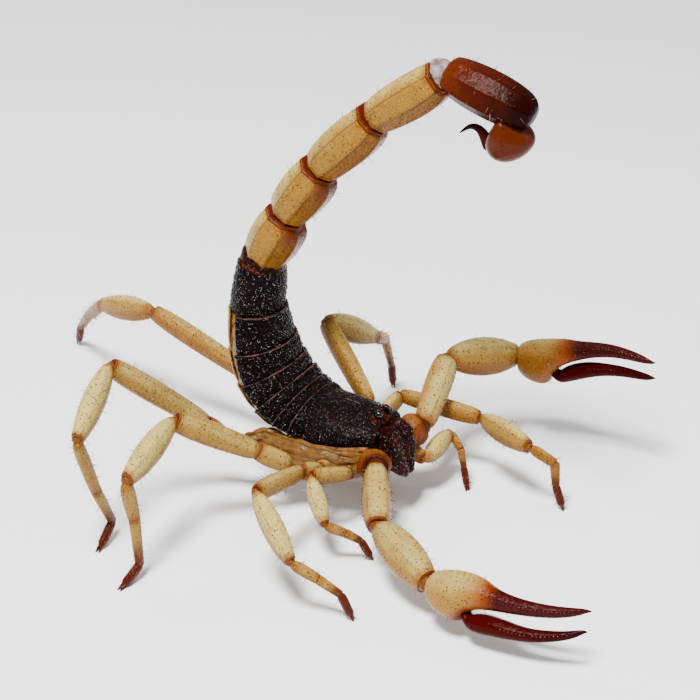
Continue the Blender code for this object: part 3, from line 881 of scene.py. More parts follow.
def on_keels(piece, segment, keels, narrow, wide):
    """How near each point is to the line of a keel, by its angle round the segment."""
    _, out = around(points_of(piece), segment)
    axes = axes_along(segment)
    turn = np.degrees(np.arctan2(out @ np.array(axes.col[0]), out @ np.array(axes.col[1])))
    return 1 - eased(np.min([np.abs(turn - angle) for angle, _ in keels], axis=0), narrow, wide)


def knuckle(name, segment, size, shade):
    """The tanned roller of the hinge that shows where a segment meets the next one."""
    size *= min(segment.width, segment.height)
    piece = lump(name, segment.end, size, 12, axes_along(segment), KNUCKLE_SHAPE)
    mark_plain(piece, shade)
    return piece


def limb(label, node, segments, outlines, lit_side, finish, slot, sides=16, paler=0.0):
    """The visible piece for one limb node, with the hinge at the far end of each of its segments."""
    parts = []
    for i, (segment, outline) in enumerate(zip(segments, outlines)):
        part = rounded(barrel(f"{label}_{i}", segment, outline, sides, LEG_KEELS))
        tint = LIMB_KEEL_TINT * on_keels(part, segment, LEG_KEELS, *LIMB_KEEL_FADE)
        mark_segment(part, segment, lit_side, tint, paler)
        parts.append(part)
        parts.append(knuckle(f"{label}_hinge", segment, KNUCKLE_SIZE, 0.5))
    return settle(joined(label, parts), finish, slot, node)


def claw(name, start, along, tip, width):
    """A claw that runs on from the foot and hooks down to its point."""
    bend = start + (along + UP * 0.25).normalized() * (tip - start).length * 0.60
    rings = []
    for i in range(CLAW_RINGS):
        t = i / (CLAW_RINGS - 1)
        place = start * (1 - t) ** 2 + bend * 2 * t * (1 - t) + tip * t * t
        heading = (bend - start) * (1 - t) + (tip - bend) * t
        size = width * (1 - CLAW_NARROWING * t**1.3)
        rings.append(Ring(place, axes_of(heading, UP + along * t), size, size))
    piece = rounded(draw(name, rings, 8), 1)
    mark_plain(piece, 0.95)
    return piece


def shin_and_foot(label, foot, lit_side):
    """The parts of the last piece of a leg: shin, ankle and foot, the ankle's hinge and two claws."""
    tibia, ankle, tarsus = foot
    tarsus = tarsus._replace(width=ankle.width * 1.08, height=ankle.height * 0.98)
    parts = []
    for segment, outline, near_shade, far_shade in (
        (tibia, SHIN_OUTLINE, 0.0, 0.15), (ankle, ANKLE_OUTLINE, 0.0, 0.75),
        (tarsus, FOOT_OUTLINE, 0.9, 1.0),
    ):
        part = rounded(barrel(f"{label}_part", segment, outline, 12))
        along, _ = around(points_of(part), segment)
        shade = near_shade + (far_shade - near_shade) * eased(along, 0.2, 0.8)
        # Shifted well towards the painted shade, so the lower leg is mostly amber
        mark_segment(part, segment, lit_side, shade, -0.7, 3.0)
        parts.append(part)
    parts.append(knuckle(f"{label}_hinge", ankle, ANKLE_KNUCKLE_SIZE, 0.85))
    heading = (tarsus.end - tarsus.start).normalized()
    start = tarsus.start.lerp(tarsus.end, CLAW_START)
    for spread in (-CLAW_SPREAD, CLAW_SPREAD):
        sideways = heading.cross(UP).normalized() * spread * MM
        on_floor = Vector((tarsus.end.x, tarsus.end.y, 0))
        tip = on_floor + sideways * 1.8 + (heading * 0.25 + UP * 0.06) * MM
        parts.append(claw(f"{label}_claw", start + sideways, heading, tip, CLAW_RADIUS * MM))
    return parts


def leg(side, number, finishes, cell):
    """One leg in three pieces, and the roots of its hairs."""
    label = f"leg_{side}_{number}"
    nodes = [f"{label}_femur", f"{label}_patella", f"{label}_tarsus"]
    thigh, knee, foot = chain(nodes, place_in("coxosternum", 0.5, 0.5, 1))
    # The side that gets the painted highlight: up, forward and outward; the far side gets painted shade
    lit_side = Vector((0.55 * SIDES[side], -0.30, 0.80))
    finish = finishes["limb"]
    upper, middle_part = (
        limb(f"{label}_{part}", node, segments, outlines, lit_side, finish, "straw_cuticle", paler=paler)
        for part, node, segments, outlines, paler in (
            # The last number shifts the part's painted highlight and shade: less on the thigh, more on the
            # knee
            ("thigh", nodes[0], thigh, [STUB_OUTLINE] * (len(thigh) - 1) + [THIGH_OUTLINE], -0.2),
            ("knee", nodes[1], knee, [KNEE_OUTLINE], 0.4),
        )
    )
    lower = flattened(joined(f"{label}_foot", shin_and_foot(label, foot, lit_side)))
    settle(lower, finish, "amber_cuticle", nodes[2])
    roots = roots_on(upper, thigh[-1], THIGH_HAIRS, cell)
    roots += roots_on(middle_part, knee[-1], KNEE_HAIRS, cell + 1)
    for segment in foot:
        roots += roots_on(lower, segment, FOOT_HAIRS, cell + 2)
    return roots


# The pincers' stout hips, the depth of flesh that the hand and finger add, and the last joint's point.
HIP_SWELL = 1.3
HAND_SWELL, FINGER_SWELL = 0.10, 0.12
POINT_REACH = 0.45
# The colour of the hand runs out from the wrist over this many mm, and its heel is paler within these.
WRIST_REACH = 9.0
HEEL_NEAR, HEEL_FAR = 1.2, 3.6
# Rows of grains: their angles round a finger or an arm, and their spacing in mm.
FINGER_ROWS, FINGER_SPACING = (60, -60), 0.50
ARM_ROWS, ARM_SPACING = (40, -40, 90, -90, 140, -140), 0.75


def sharpened(rings):
    """The rings with their last one drawn out to a point."""
    last = rings[-1]
    tip = scaled(last, 0.12)._replace(centre=last.centre + last.axes.col[2] * POINT_REACH * MM)
    return rings[:-1] + [scaled(last, 0.55), tip]


def hand_piece(label, palm, digit, wrist, lit_side, finish):
    """The hand with its fixed finger, and the straight run from the wrist to its tip."""
    rings = sharpened([swollen(ring, HAND_SWELL) for ring in palm])
    hand = rounded(draw(f"{label}_hand", rings, 24, HAND_KEELS), 2)
    reach = np.linalg.norm(points_of(hand) - np.array(wrist), axis=1)
    run = Segment(wrist, Vector(points_of(hand)[reach.argmax()]), UP, 1, 1)
    _, out = around(points_of(hand), run)
    from_heel = np.linalg.norm(points_of(hand) - np.array(digit[0].centre), axis=1) / MM
    at_heel = 0.46 - 0.20 * eased(from_heel, HEEL_NEAR, HEEL_FAR)
    # pale: how far each point faces the lit side, for the painted highlight and shade
    mark(hand, ends=np.minimum(reach / MM, WRIST_REACH), hem=3.0, pale=toward_lit_side(out, run, lit_side),
         shade=0.0, tip=np.maximum(reach / reach.max(), at_heel))
    return settle(hand, finish, "straw_cuticle", f"{label}_manus"), run


def finger_piece(label, palm, digit, wrist, finish):
    """The movable finger, from a knob in the hand's heel to its point."""
    heel = digit[0].centre.lerp(palm[3].centre, 0.5)
    axes = axes_of(digit[1].centre - heel, UP)
    knob = Ring(heel, axes, digit[1].width * 0.8, digit[1].height * 0.8)
    rings = [knob] + sharpened([swollen(ring, FINGER_SWELL) for ring in digit])
    finger = rounded(draw(f"{label}_finger", rings, 20, FINGER_KEELS), 2)
    reach = np.linalg.norm(points_of(finger) - np.array(wrist), axis=1)
    mark(finger, along=(reach - reach.min()) / (reach.max() - reach.min()))
    settle(finger, finish, "chestnut_cuticle", f"{label}_movable_finger")


def pincer(side, finishes, cell):
    """One pincer in five pieces, the roots of its hairs and the grains on its fingers and arm."""
    label = f"palp_{side}"
    low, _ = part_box("carapace")
    root = Vector((0, low.y, low.z))
    hip, thigh, knee = chain([f"{label}_trochanter", f"{label}_femur", f"{label}_patella"], root)
    hip = [s._replace(width=s.width * HIP_SWELL, height=s.height * HIP_SWELL) for s in hip]
    # The side that gets the painted highlight: up, forward and outward; the far side gets painted shade
    lit_side = Vector((0.45 * SIDES[side], -0.30, 0.85))
    made = [
        limb(f"{label}_{part}", f"{label}_{node}", segments, [outline], lit_side,
             finishes[finish], slot, 20)
        for part, node, segments, outline, finish, slot in (
            ("hip", "trochanter", hip, STUB_OUTLINE, "amber", "amber_cuticle"),
            ("upper_arm", "femur", thigh, THIGH_OUTLINE, "arm", "straw_cuticle"),
            ("forearm", "patella", knee, SPINDLE_OUTLINE, "arm", "straw_cuticle"),
        )
    ]
    wrist = knee[-1].end
    palm = path_of(f"{label}_manus", wrist, UP)
    digit = path_of(f"{label}_movable_finger", wrist, UP)
    hand, run = hand_piece(label, palm, digit, wrist, lit_side, finishes["arm"])
    finger_piece(label, palm, digit, wrist, finishes["finger"])
    roots = roots_on(made[1], thigh[-1], ARM_HAIRS, cell)
    roots += roots_on(made[2], knee[-1], ARM_HAIRS, cell + 1)
    roots += roots_on(hand, run, HAND_HAIRS, cell + 2, lambda along, out: along < 0.55)
    finger_spots, arm_spots = [], []
    for rings in (palm[7:-1], digit[3:-1]):
        for angle in FINGER_ROWS:
            finger_spots += keel_spots(rings, angle, FINGER_SPACING, cell + 3, 1.08)
    for segment, outline in ((thigh[-1], THIGH_OUTLINE), (knee[-1], SPINDLE_OUTLINE)):
        for angle in ARM_ROWS:
            rings = outline_rings(segment, outline)[3:-4]
            arm_spots += keel_spots(rings, angle, ARM_SPACING, cell, 1.0)
    return roots, finger_spots, arm_spots


# ---------------------------------------------------------------- trunk


# Trunk plates: how far round the body they reach, in degrees from the middle of the back or belly.
TERGITE_REACH = 106
STERNITE_REACH = 62
PLATE_THICKNESS = 0.28
# A back plate's dome from its front on: where each ring lies, as a share of the plate, and its size as
# a share of the body's. Its front edge is tucked in, by mm, under the hem of the plate before it.
DOME = ((0.05, 0.94), (0.16, 0.965), (0.32, 0.995), (0.5, 1.01), (0.68, 1.012), (0.84, 0.992))
TUCK = 0.30
# The raised rear hem: its width in mm, its greatest share of the plate, and its rise, as a share of the
# body's size, on a short plate and on one that is longer than LONG_PLATE mm.
HEM_WIDTH, HEM_LIMIT = 0.42, 0.16
SHORT_HEM_RISE, LONG_HEM_RISE, LONG_PLATE = 0.032, 0.040, 2.5
# The last trunk ring narrows round the tail in a collar.
COLLAR = ((1.0, 0.93), (1.02, 0.86), (1.0, 0.76), (0.9, 0.68))
# Grains and hairs for each square mm, and the grains' radius in mm.
TRUNK_GRAINS, SHIELD_GRAINS, JAW_GRAINS, TRUNK_HAIRS = 3.2, 5.0, 2.4, 0.10
GRAIN_RADIUS = 0.13


def trunk_rings():
    """Three rings of each of the seven trunk nodes, from the front back, square to the trunk there."""
    start = place_in("carapace", 0.5, 1, 0)
    found = []
    for i in range(1, 8):
        rings = outward_rings(f"mesosoma_{i}", start)
        start = middle(rings[-1])
        run = start - middle(rings[0])
        found.append([level_ring(points, run) for points in rings])
    return found


def plate_stops(length):
    """Where the rings of a plate that many mm long lie, their sizes, and its hem's share of it."""
    hem = min(HEM_WIDTH / length, HEM_LIMIT)
    crest = 1 + (LONG_HEM_RISE if length > LONG_PLATE else SHORT_HEM_RISE)
    front = (-0.03 - TUCK / length, 0.92)
    rear = ((1 - hem, 0.985), (1 - hem * 0.4, crest), (1 + hem * 0.3, crest), (1 + hem * 0.55, 0.985))
    return (front, *DOME, *rear), hem


def turned_over(ring):
    """The same ring with its up direction at the belly."""
    axes = Matrix((-ring.axes.col[0], -ring.axes.col[1], ring.axes.col[2])).transposed()
    return Ring(ring.centre, axes, ring.width, ring.height)


def plate(name, rings, reach, levels, sides):
    """A curved plate with thickness over part of a tube."""
    piece = draw(name, rings, sides, reach=reach)
    wall = piece.modifiers.new("Wall", "SOLIDIFY")
    wall.thickness = PLATE_THICKNESS * MM
    wall.offset = 0
    apply_all(piece)
    return rounded(piece, levels)


def above_belly(_, out):
    """Which roots are on the back and flanks."""
    return out[:, 2] > -0.35


def on_flank(_, out):
    """Which roots are on the flanks."""
    return np.abs(out[:, 0]) > 0.75


def trunk(finishes):
    """Seven back plates and four belly plates, each with a raised rear hem over the next one's front."""
    nodes = trunk_rings()
    beads, hairs = [], []
    for i, (near, mid, far) in enumerate(nodes, 1):
        length = (far.centre - near.centre).length / MM
        stops, hem = plate_stops(length)
        if i == 7:
            near, mid, far = (swollen(ring, 0.12) for ring in (near, mid, far))
        rings = [between(near, far, t, size) for t, size in stops]
        rings[4] = scaled(mid, 1.005)
        if i < 7:
            piece = plate(f"tergite_{i}", rings, TERGITE_REACH, 3, 56)
        else:
            collar = [between(near, far, t, size) for t, size in COLLAR]
            piece = rounded(draw("tergite_7", rings[:-3] + collar, 48), 3)
        grained(piece, 0.42, 0.15)
        past = (points_of(piece) - np.array(far.centre)) @ np.array(far.axes.col[2]) / MM
        rust = eased(past, -1.4, 0.0) * 0.9 if i == 7 else 0.0
        # rim: mm from the crest of the rear hem, where the paler line is partly a painted highlight
        mark(piece, rim=np.abs(past - hem * 0.35 * length), rust=rust)
        settle(piece, finishes["dark"], "dark_cuticle", f"mesosoma_{i}")
        body = Segment(near.centre, far.centre, Vector(near.axes.col[1]), near.width, near.height)
        beads += roots_on(piece, body, TRUNK_GRAINS, TRUNK_CELL + i, above_belly)
        hairs += roots_on(piece, body, TRUNK_HAIRS, TRUNK_CELL + i, on_flank)
        if 2 < i < 7:
            under = [turned_over(between(near, far, t, min(size, 0.99))) for t, size in stops]
            belly = plate(f"sternite_{i}", under, STERNITE_REACH, 2, 40)
            mark_plain(belly, 0.30, ends=2.0, pale=0.4)
            settle(belly, finishes["arm"], "amber_cuticle")
    grains("trunk_grains", spots_of(beads), GRAIN_RADIUS, finishes, "dark_cuticle")
    bristles("trunk_bristles", hairs, "trunk", finishes)
    return nodes


# The skin under the head shield: shares of the shield's length, then of its half width, and a drop in mm.
UNDER_SHIELD = ((0.10, 0.45, 0.9), (0.25, 0.68, 0.7), (0.5, 0.82, 0.5), (0.75, 0.88, 0.3))
UNDER_SHIELD_HEIGHT = 2.6


def skin(nodes, finishes):
    """The soft skin of the flanks, one tube from under the head shield to the tail."""
    low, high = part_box("carapace")
    level = (low.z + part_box("coxosternum")[0].z) / 2
    axes = axes_of(Vector((0, 1, 0)), UP)
    rings = []
    for share, wide, drop in UNDER_SHIELD:
        y = low.y + (high.y - low.y) * share
        centre = Vector(((low.x + high.x) / 2, y, level + (1.2 - drop) * MM))
        rings.append(Ring(centre, axes, (high.x - low.x) / 2 * wide, UNDER_SHIELD_HEIGHT * MM))
    flank = [between(near, far, t, 0.94) for near, _, far in nodes[:-1] for t in (0.15, 0.85)]
    rings += [between(nodes[0][0], nodes[0][2], 0.3, 0.93)] + flank[1:]
    rings += [between(nodes[-1][0], nodes[-1][2], t, size) for t, size in ((0.05, 0.80), (0.2, 0.60))]
    piece = rounded(draw("flank_skin", rings, 40), 2)
    grained(piece, 1.1, 0.25, "CLOUDS")
    settle(piece, finishes["skin"], "amber_cuticle")


# ---------------------------------------------------------------- tail


# The bulb of the sting: its shares of the solid's width and height, and how much blunter its end is.
BULB_WIDE, BULB_HIGH, BULB_BLUNTNESS = 1.35, 1.95, 0.45
BULB_LIFT, BULB_END_LIFT = 0.42, 0.2
# The sting's radius in mm: in the bulb, part way out of it, and what it loses from its base to its tip.
STING_SOCKET, STING_NECK, STING_BASE, STING_TAPER = 1.05, 0.98, 0.94, 0.89


def tail_segment(node, root):
    """A tail node as one straight segment, its up side the animal's back."""
    rings = outward_rings(node, root)
    half = (middle(rings[-1]) - middle(rings[0])) / 2
    shape = ring_from(rings[len(rings) // 2], half, back_of(half))
    up = Vector(shape.axes.col[1])
    return Segment(shape.centre - half, shape.centre + half, up, shape.width, shape.height)


def tail(finishes, cell):
    """Five keeled tail segments and the sting, the roots of their hairs and the grains of their keels."""
    roots, spots = [], []
    low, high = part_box("mesosoma_7")
    root = Vector((0, low.y, high.z))
    for i in range(1, 6):
        last = i == 5
        segment = tail_segment(f"metasoma_{i}", root)
        root = segment.end
        outline = TAIL_END_OUTLINE if last else TAIL_OUTLINE
        piece = rounded(barrel(f"tail_{i}", segment, outline, 32, TAIL_KEELS))
        along, out = around(points_of(piece), segment)
        back = out @ np.array(segment.up)
        smudge = 0.75 * eased(along, 0.45, 0.9) * eased(back, 0.1, 0.8) * (i < 3)
        tint = TAIL_KEEL_TINT * on_keels(piece, segment, TAIL_KEELS, *TAIL_KEEL_FADE)
        # Painted highlight on the side turned up, rearwards and to the key light's side; painted shade
        # opposite
        mark_segment(piece, segment, Vector((-0.25, 0.75, 0.6)), np.maximum(smudge, tint), hem_scale=1.0)
        mark(piece, along=along)
        slot = "chestnut_cuticle" if last else "straw_cuticle"
        settle(piece, finishes["tail_end" if last else "tail"], slot, f"metasoma_{i}")
        roots += roots_on(piece, segment, TAIL_HAIRS, cell + i)
        rings = outline_rings(segment, outline)[5:-3 if last else -8]
        for angle in TAIL_KEEL_ANGLES:
            spots += keel_spots(rings, angle, 0.62, cell + i, 1.01)
        axes = axes_along(segment)
        if i == 1:
            stem = lump("tail_root", segment.start, segment.height * 0.98, 32, axes, (1.05, 1, 0.9))
            grained(stem, 0.9, 0.25, "CLOUDS")
            mark(stem, rim=2.0, rust=0.6)
            settle(stem, finishes["jaw"], "dark_cuticle")
        if i == 4:
            bend = lump("tail_bend", segment.end, segment.height * 0.84, 32, axes, (0.95, 1, 0.85))
            grained(bend, 0.8, 0.35, "CLOUDS")
            settle(bend, finishes["membrane"], "amber_cuticle")
    sting(finishes, root)
    return roots, spots


def sting(finishes, root):
    """The bulb at the tail's end and the curved sting that grows from it."""
    path = path_of("vesicle", root)
    bulb_rings = []
    for i, ring in enumerate(path):
        blunt = 1 + BULB_BLUNTNESS * (i / (len(path) - 1)) ** 2
        lift = UP * (BULB_LIFT * ring.height + BULB_END_LIFT * MM * (blunt - 1))
        bigger = scaled(ring, BULB_WIDE * blunt, BULB_HIGH * blunt)
        bulb_rings.append(bigger._replace(centre=ring.centre + lift))
    bulb = rounded(draw("sting_bulb", bulb_rings, 20), 2)
    level = points_of(bulb)[:, 2]
    mark(bulb, along=0.25 * eased(level, level.min(), level.max()))
    settle(bulb, finishes["bulb"], "amber_cuticle", "vesicle")
    socket = bulb_rings[-3].centre
    path = path_of("aculeus", path[-1].centre)
    axes = axes_of(path[0].centre - socket, Vector((0, 1, 0)))
    neck = socket.lerp(path[0].centre, 0.55)
    rings = [
        Ring(place, axes, size * MM, size * MM)
        for place, size in ((socket, STING_SOCKET), (neck, STING_NECK))
    ]
    for i, ring in enumerate(path):
        size = (STING_BASE - STING_TAPER * (i / (len(path) - 1)) ** 1.2) * MM
        rings.append(Ring(ring.centre, ring.axes, size, size))
    point = rounded(draw("sting_point", rings, 12), 2)
    reach = np.linalg.norm(points_of(point) - np.array(socket), axis=1)
    mark(point, along=reach / reach.max() * 1.2)
    settle(point, finishes["tail_end"], "chestnut_cuticle", "aculeus")


# ---------------------------------------------------------------- head


# The brow of the head shield stands this far, in mm, behind the jaw lobes' front.
BROW_SETBACK = 0.6
# The shield round the middle eyes: a shallow dip between them and a rise at each, and how wide, in mm.
MOUND_RADIUS, MOUND_LIFT = 1.3, -0.32
SOCKET_RADIUS, SOCKET_LIFT = 1.0, 0.30
# The ridge behind the eyes: half its width, its rise and how far that reaches to the side, in mm.
RIDGE_HALF_WIDTH, RIDGE_LIFT, RIDGE_REACH = 0.12, 0.20, 0.35
# An eye: its size beside the solid's, where it stands out of it, in mm, and the thickness of its rim.
EYE_SIZE = 1.18
EYE_OFFSET = (0.08, -0.05, 0.78)
EYE_RIM = 0.12
# Side eyes: from the middle, the shield's front and its rim, in mm, their radius, and the step between.
SIDE_EYE_PLACE = (3.0, 0.75, 2.35)
SIDE_EYE_RADIUS = 0.28
SIDE_EYE_STEP = 0.55
# The lobe at the root of a jaw: steps back and up from the shield's front rim, and its radius, in mm.
JAW_LOBE = ((2.0, 1.6, 0.6), (1.5, 1.75, 1.15), (0.85, 1.45, 1.55), (0.2, 0.65, 1.75))
JAW_SPREAD = 1.30
JAW_SWELL = 0.22


# A ring of the shield's solid has at least this many points side by side.
FULL_RING = 15


def carapace_rings():
    """Rings of the head shield from the front back: half width, rim level and height at each place."""
    levels = {}
    for x, y, z in points_of(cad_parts["carapace"]):
        levels.setdefault(round(y, 4), []).append((x, z))
    low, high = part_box("carapace")
    axes = axes_of(Vector((0, 1, 0)), UP)
    rings = []
    for y, found in sorted(levels.items()):
        if len({round(x, 5) for x, _ in found}) >= FULL_RING:
            across, level = zip(*found)
            centre = Vector(((low.x + high.x) / 2, y, min(level)))
            rings.append(Ring(centre, axes, (max(across) - min(across)) / 2, max(level) - min(level)))
    rings = [ring for ring in rings if ring.centre.y > low.y + BROW_SETBACK * MM - WELD]
    front, rear = rings[0], rings[-1]
    brow = scaled(front, 0.86, 0.62)._replace(centre=front.centre - Vector((0, 0.35 * MM, 0)))
    lip = scaled(rear, 1.015, 1.02)._replace(centre=rear.centre + Vector((0, 0.42 * MM, 0)))
    return [brow] + rings + [lip]


def on_back(_, out):
    """Which roots are on the upper side of the shield."""
    return out[:, 2] > 0.05


def pulled(piece, wanted, lift, radius):
    """Lifts points by mm, and those round them less and less out to a radius in mm."""
    pick(piece, wanted)
    bpy.ops.transform.translate(
        value=(0, 0, lift * MM), use_proportional_edit=True, proportional_edit_falloff="SMOOTH",
        proportional_size=radius * MM)


def head_shield(eyes, finishes):
    """The shield over the head: its brow, the mound of the middle eyes, the ridge behind and its grains."""
    rings = carapace_rings()
    piece = draw("carapace_shield", rings, 48)
    bpy.ops.object.mode_set(mode="EDIT")
    for ring in rings:
        pick(piece, lambda co: abs(co.y - ring.centre.y) < WELD and co.z < ring.centre.z - WELD)
        bpy.ops.transform.resize(value=(1, 1, 0.25), center_override=ring.centre)
    bpy.ops.object.mode_set(mode="OBJECT")
    rounded(piece, 3)
    mound = middle(eyes)
    surface = [v.co.copy() for v in piece.data.vertices if v.co.z > mound.z - 2 * MM]
    bpy.ops.object.mode_set(mode="EDIT")
    for centre, radius, lift in (
        (mound, MOUND_RADIUS, MOUND_LIFT), *((eye, SOCKET_RADIUS, SOCKET_LIFT) for eye in eyes),
    ):
        nearest = min(surface, key=lambda co: (co - centre).length)
        pulled(piece, lambda co: (co - nearest).length < 0.35 * MM, lift, radius)
    behind = Vector((RIDGE_HALF_WIDTH, 1, -1.5)) * MM
    pulled(piece, lambda co: abs(co.x - mound.x) < behind.x and co.z > mound.z + behind.z
           and co.y > mound.y + behind.y, RIDGE_LIFT, RIDGE_REACH)
    bpy.ops.object.mode_set(mode="OBJECT")
    grained(piece, 0.36, 0.13)
    x, y, _ = points_of(piece).T
    from_eyes = np.linalg.norm(points_of(piece) - np.array(eyes)[:, None], axis=2).min(axis=0) / MM
    near_eyes = 0.8 - 0.8 * eased(from_eyes, 1.0, 2.2)
    on_ridge = 0.62 * (1 - eased(np.abs(x - mound.x) / MM, 0.05, 0.60)) * (y > mound.y)
    at_front = 0.7 * (1 - eased((y - y.min()) / MM, 0.3, 1.2))
    mark(piece, rim=(y.max() - y) / MM, rust=np.maximum(np.maximum(near_eyes, on_ridge), at_front))
    settle(piece, finishes["shield"], "dark_cuticle", "carapace")
    body = Segment(rings[0].centre, rings[-1].centre, UP, rings[-1].width, rings[-1].height)
    beads = [
        root for root in roots_on(piece, body, SHIELD_GRAINS, TRUNK_CELL, on_back)
        if min(np.linalg.norm(np.array(root.place) - np.array(eye)) for eye in eyes) > 1.0 * MM
    ]
    grains("carapace_grains", spots_of(beads), 0.12, finishes, "dark_cuticle")
    return piece


def eye_set(eyes, shield, finishes):
    """Two glassy middle eyes in raised rims, and two small side eyes at each front corner."""
    for name, eye in zip(SIDES, eyes):
        low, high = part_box(f"median_eye_{name}")
        radius = (high - low).x / 2 * EYE_SIZE
        outward = Vector((SIDES[name] * 0.75, -0.35, 0.75)).normalized()
        sideways, back, upwards = EYE_OFFSET
        place = eye + Vector((SIDES[name] * sideways, back, upwards)) * MM
        lens = lump(f"eye_{name}", place, radius, 32, axes_of(outward, UP), (1, 1, 0.86))
        settle(lens, finishes["eye"], "eye_lens", f"median_eye_{name}")
        bpy.ops.object.select_all(action="DESELECT")
        bpy.ops.mesh.primitive_torus_add(
            major_segments=32, minor_segments=10, major_radius=radius * 0.96,
            minor_radius=EYE_RIM * MM, location=place - outward * radius * 0.15,
            rotation=outward.to_track_quat("Z", "Y").to_euler(),
        )
        rim = bpy.context.object
        rim.name = rim.data.name = f"eye_rim_{name}"
        bpy.ops.object.transform_apply()
        rounded(rim, 1)
        grained(rim, 0.3, 0.08)
        mark(rim, rim=2.0, rust=0.0)
        settle(rim, finishes["jaw"], "dark_cuticle")
    front = place_in("carapace", 0.5, 0, 0)
    out, back, up = SIDE_EYE_PLACE
    for name, way in SIDES.items():
        for step in (0.0, SIDE_EYE_STEP):
            offset = Vector((way * (out + step * 0.8), back + step, up))
            place = front + offset * MM
            place = min((v.co for v in shield.data.vertices), key=lambda co: (co - place).length)
            axes = axes_of(Vector((way, -0.8, 0.3)), UP)
            label = f"side_eye_{name}_{int(step * 10)}"
            spot = lump(label, place, SIDE_EYE_RADIUS * MM, 16, axes, (1, 1, 0.8))
            settle(spot, finishes["eye"], "eye_lens")


def jaws(finishes):
    """Two granular lobes that bulge out under the brow and narrow downwards to a blunt tip."""
    rim = place_in("carapace", 0.5, 0, 0)
    for name, way in SIDES.items():
        path = path_of(f"chelicera_{name}", place_in("carapace", 0.5, 0, 1))[2:]
        lobe = [
            Vector((rim.x + way * JAW_SPREAD * MM, rim.y + back * MM, rim.z + level * MM))
            for back, level, _ in JAW_LOBE
        ]
        rings = []
        for place, ahead, (_, _, size) in zip(lobe, lobe[1:] + [path[0].centre], JAW_LOBE):
            axes = axes_of(ahead - place, back_of(ahead - place))
            rings.append(Ring(place, axes, size * MM, size * MM))
        for i, ring in enumerate(path):
            reach = (i + 1) / len(path)
            inward = Vector((rim.x - ring.centre.x, 0, 0)) * 0.45 * reach**2
            slimmer = scaled(swollen(ring, JAW_SWELL), 1 - 0.38 * reach**3)
            rings.append(slimmer._replace(centre=ring.centre + inward))
        jaw = rounded(draw(f"jaw_{name}", rings, 20), 3)
        grained(jaw, 0.48, 0.22)
        mark(jaw, rim=2.0, rust=0.35)
        settle(jaw, finishes["jaw"], "dark_cuticle", f"chelicera_{name}")
        body = Segment(rings[0].centre, rings[-1].centre, Vector((0, -1, 0)), 1, 1)
        beads = roots_on(jaw, body, JAW_GRAINS, TRUNK_CELL + 7)
        grains(f"jaw_grains_{name}", spots_of(beads), GRAIN_RADIUS, finishes, "dark_cuticle")


# ---------------------------------------------------------------- underside


# The fold round the leg roots: the share of each hip's length where it swells, and its radius in mm
# there. It starts at the pincer's root and ends past the last leg's.
HIP_SHARES = (0.25, 0.1, 0.2, 0.2, 0.15, 0.35, 0.60)
HIP_RADII = (1.5, 1.6, 1.9, 2.1, 2.15, 1.7, 1.1)
# Between two hips it narrows to this share, and it is this much higher than wide.
HIP_GAP, HIP_HEIGHT = 0.82, 1.25
# Creases run along it at these angles from its side; their radius in mm, and how much that varies.
CREASE_ANGLES, CREASE_RADIUS, CREASE_WAVE = (0, 40, 80), 0.40, 0.14
# The ribbon of skin under the shield's rim, and the teeth of the combs, in mm.
RIBBON_WIDE, RIBBON_HIGH, RIBBON_DROP = 0.62, 0.48, 0.55
TOOTH_RADIUS, TOOTH_DROP = 0.24, 0.45


def around_each(items):
    """Each item with the one before it and the one after it, the ends standing for what isn't there."""
    return zip([items[0]] + items, items, items[1:] + [items[-1]])


def coxal_fold(name, finishes):
    """The brown skin round the roots of one side's legs: a swelling at each, with creases along it."""
    belly = middle(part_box("coxosternum"))
    hips = [segments_of(f"leg_{name}_{number}_femur", belly)[0] for number in range(1, 5)]
    hips = [segments_of(f"palp_{name}_trochanter", belly)[0]] + hips + [hips[3]] * 2
    stops = []
    for hip, share, size in zip(hips, HIP_SHARES, HIP_RADII):
        place = hip.start.lerp(hip.end, share)
        if stops:
            before, last_size = stops[-1]
            stops.append((before.lerp(place, 0.5), (last_size + size) / 2 * HIP_GAP))
        stops.append((place, size))
    swell = []
    for (before, _), (place, size), (after, _) in around_each(stops):
        axes = axes_of(after - before, UP)
        swell.append(Ring(place + UP * size * 0.30 * MM, axes, size * MM, size * HIP_HEIGHT * MM))
    parts = [rounded(draw(f"coxal_folds_{name}", swell, 24), 3)]
    for turn in CREASE_ANGLES:
        crease = []
        for i, ring in enumerate(swell):
            across = SIDES[name] * math.cos(math.radians(turn)) * ring.width * 0.96
            above = math.sin(math.radians(turn)) * ring.height * 0.96
            size = (CREASE_RADIUS + CREASE_WAVE * math.sin(1.9 * i + turn)) * MM
            crease.append(Ring(ring.centre + Vector((across, 0, above)), ring.axes, size, size))
        parts.append(rounded(draw("crease", crease, 12), 2))
    fold = joined(f"coxal_folds_{name}", parts)
    grained(fold, 1.5, 0.6, "CLOUDS")
    grained(fold, 0.6, 0.2, "CLOUDS")
    settle(fold, finishes["fold"], "amber_cuticle")


def ribbon(name, finishes):
    """The glossy cord of skin under one side of the head shield's rim."""
    way = SIDES[name]
    cord = []
    for before, ring, after in around_each(carapace_rings()[1:]):
        place = ring.centre + Vector((way * ring.width * 0.93, 0, -RIBBON_DROP * MM))
        ahead = after.centre - before.centre + Vector((way * (after.width - before.width) * 0.93, 0, 0))
        cord.append(Ring(place, axes_of(ahead, UP), RIBBON_WIDE * MM, RIBBON_HIGH * MM))
    settle(rounded(draw(f"rim_ribbon_{name}", cord, 12), 2), finishes["skin"], "amber_cuticle")


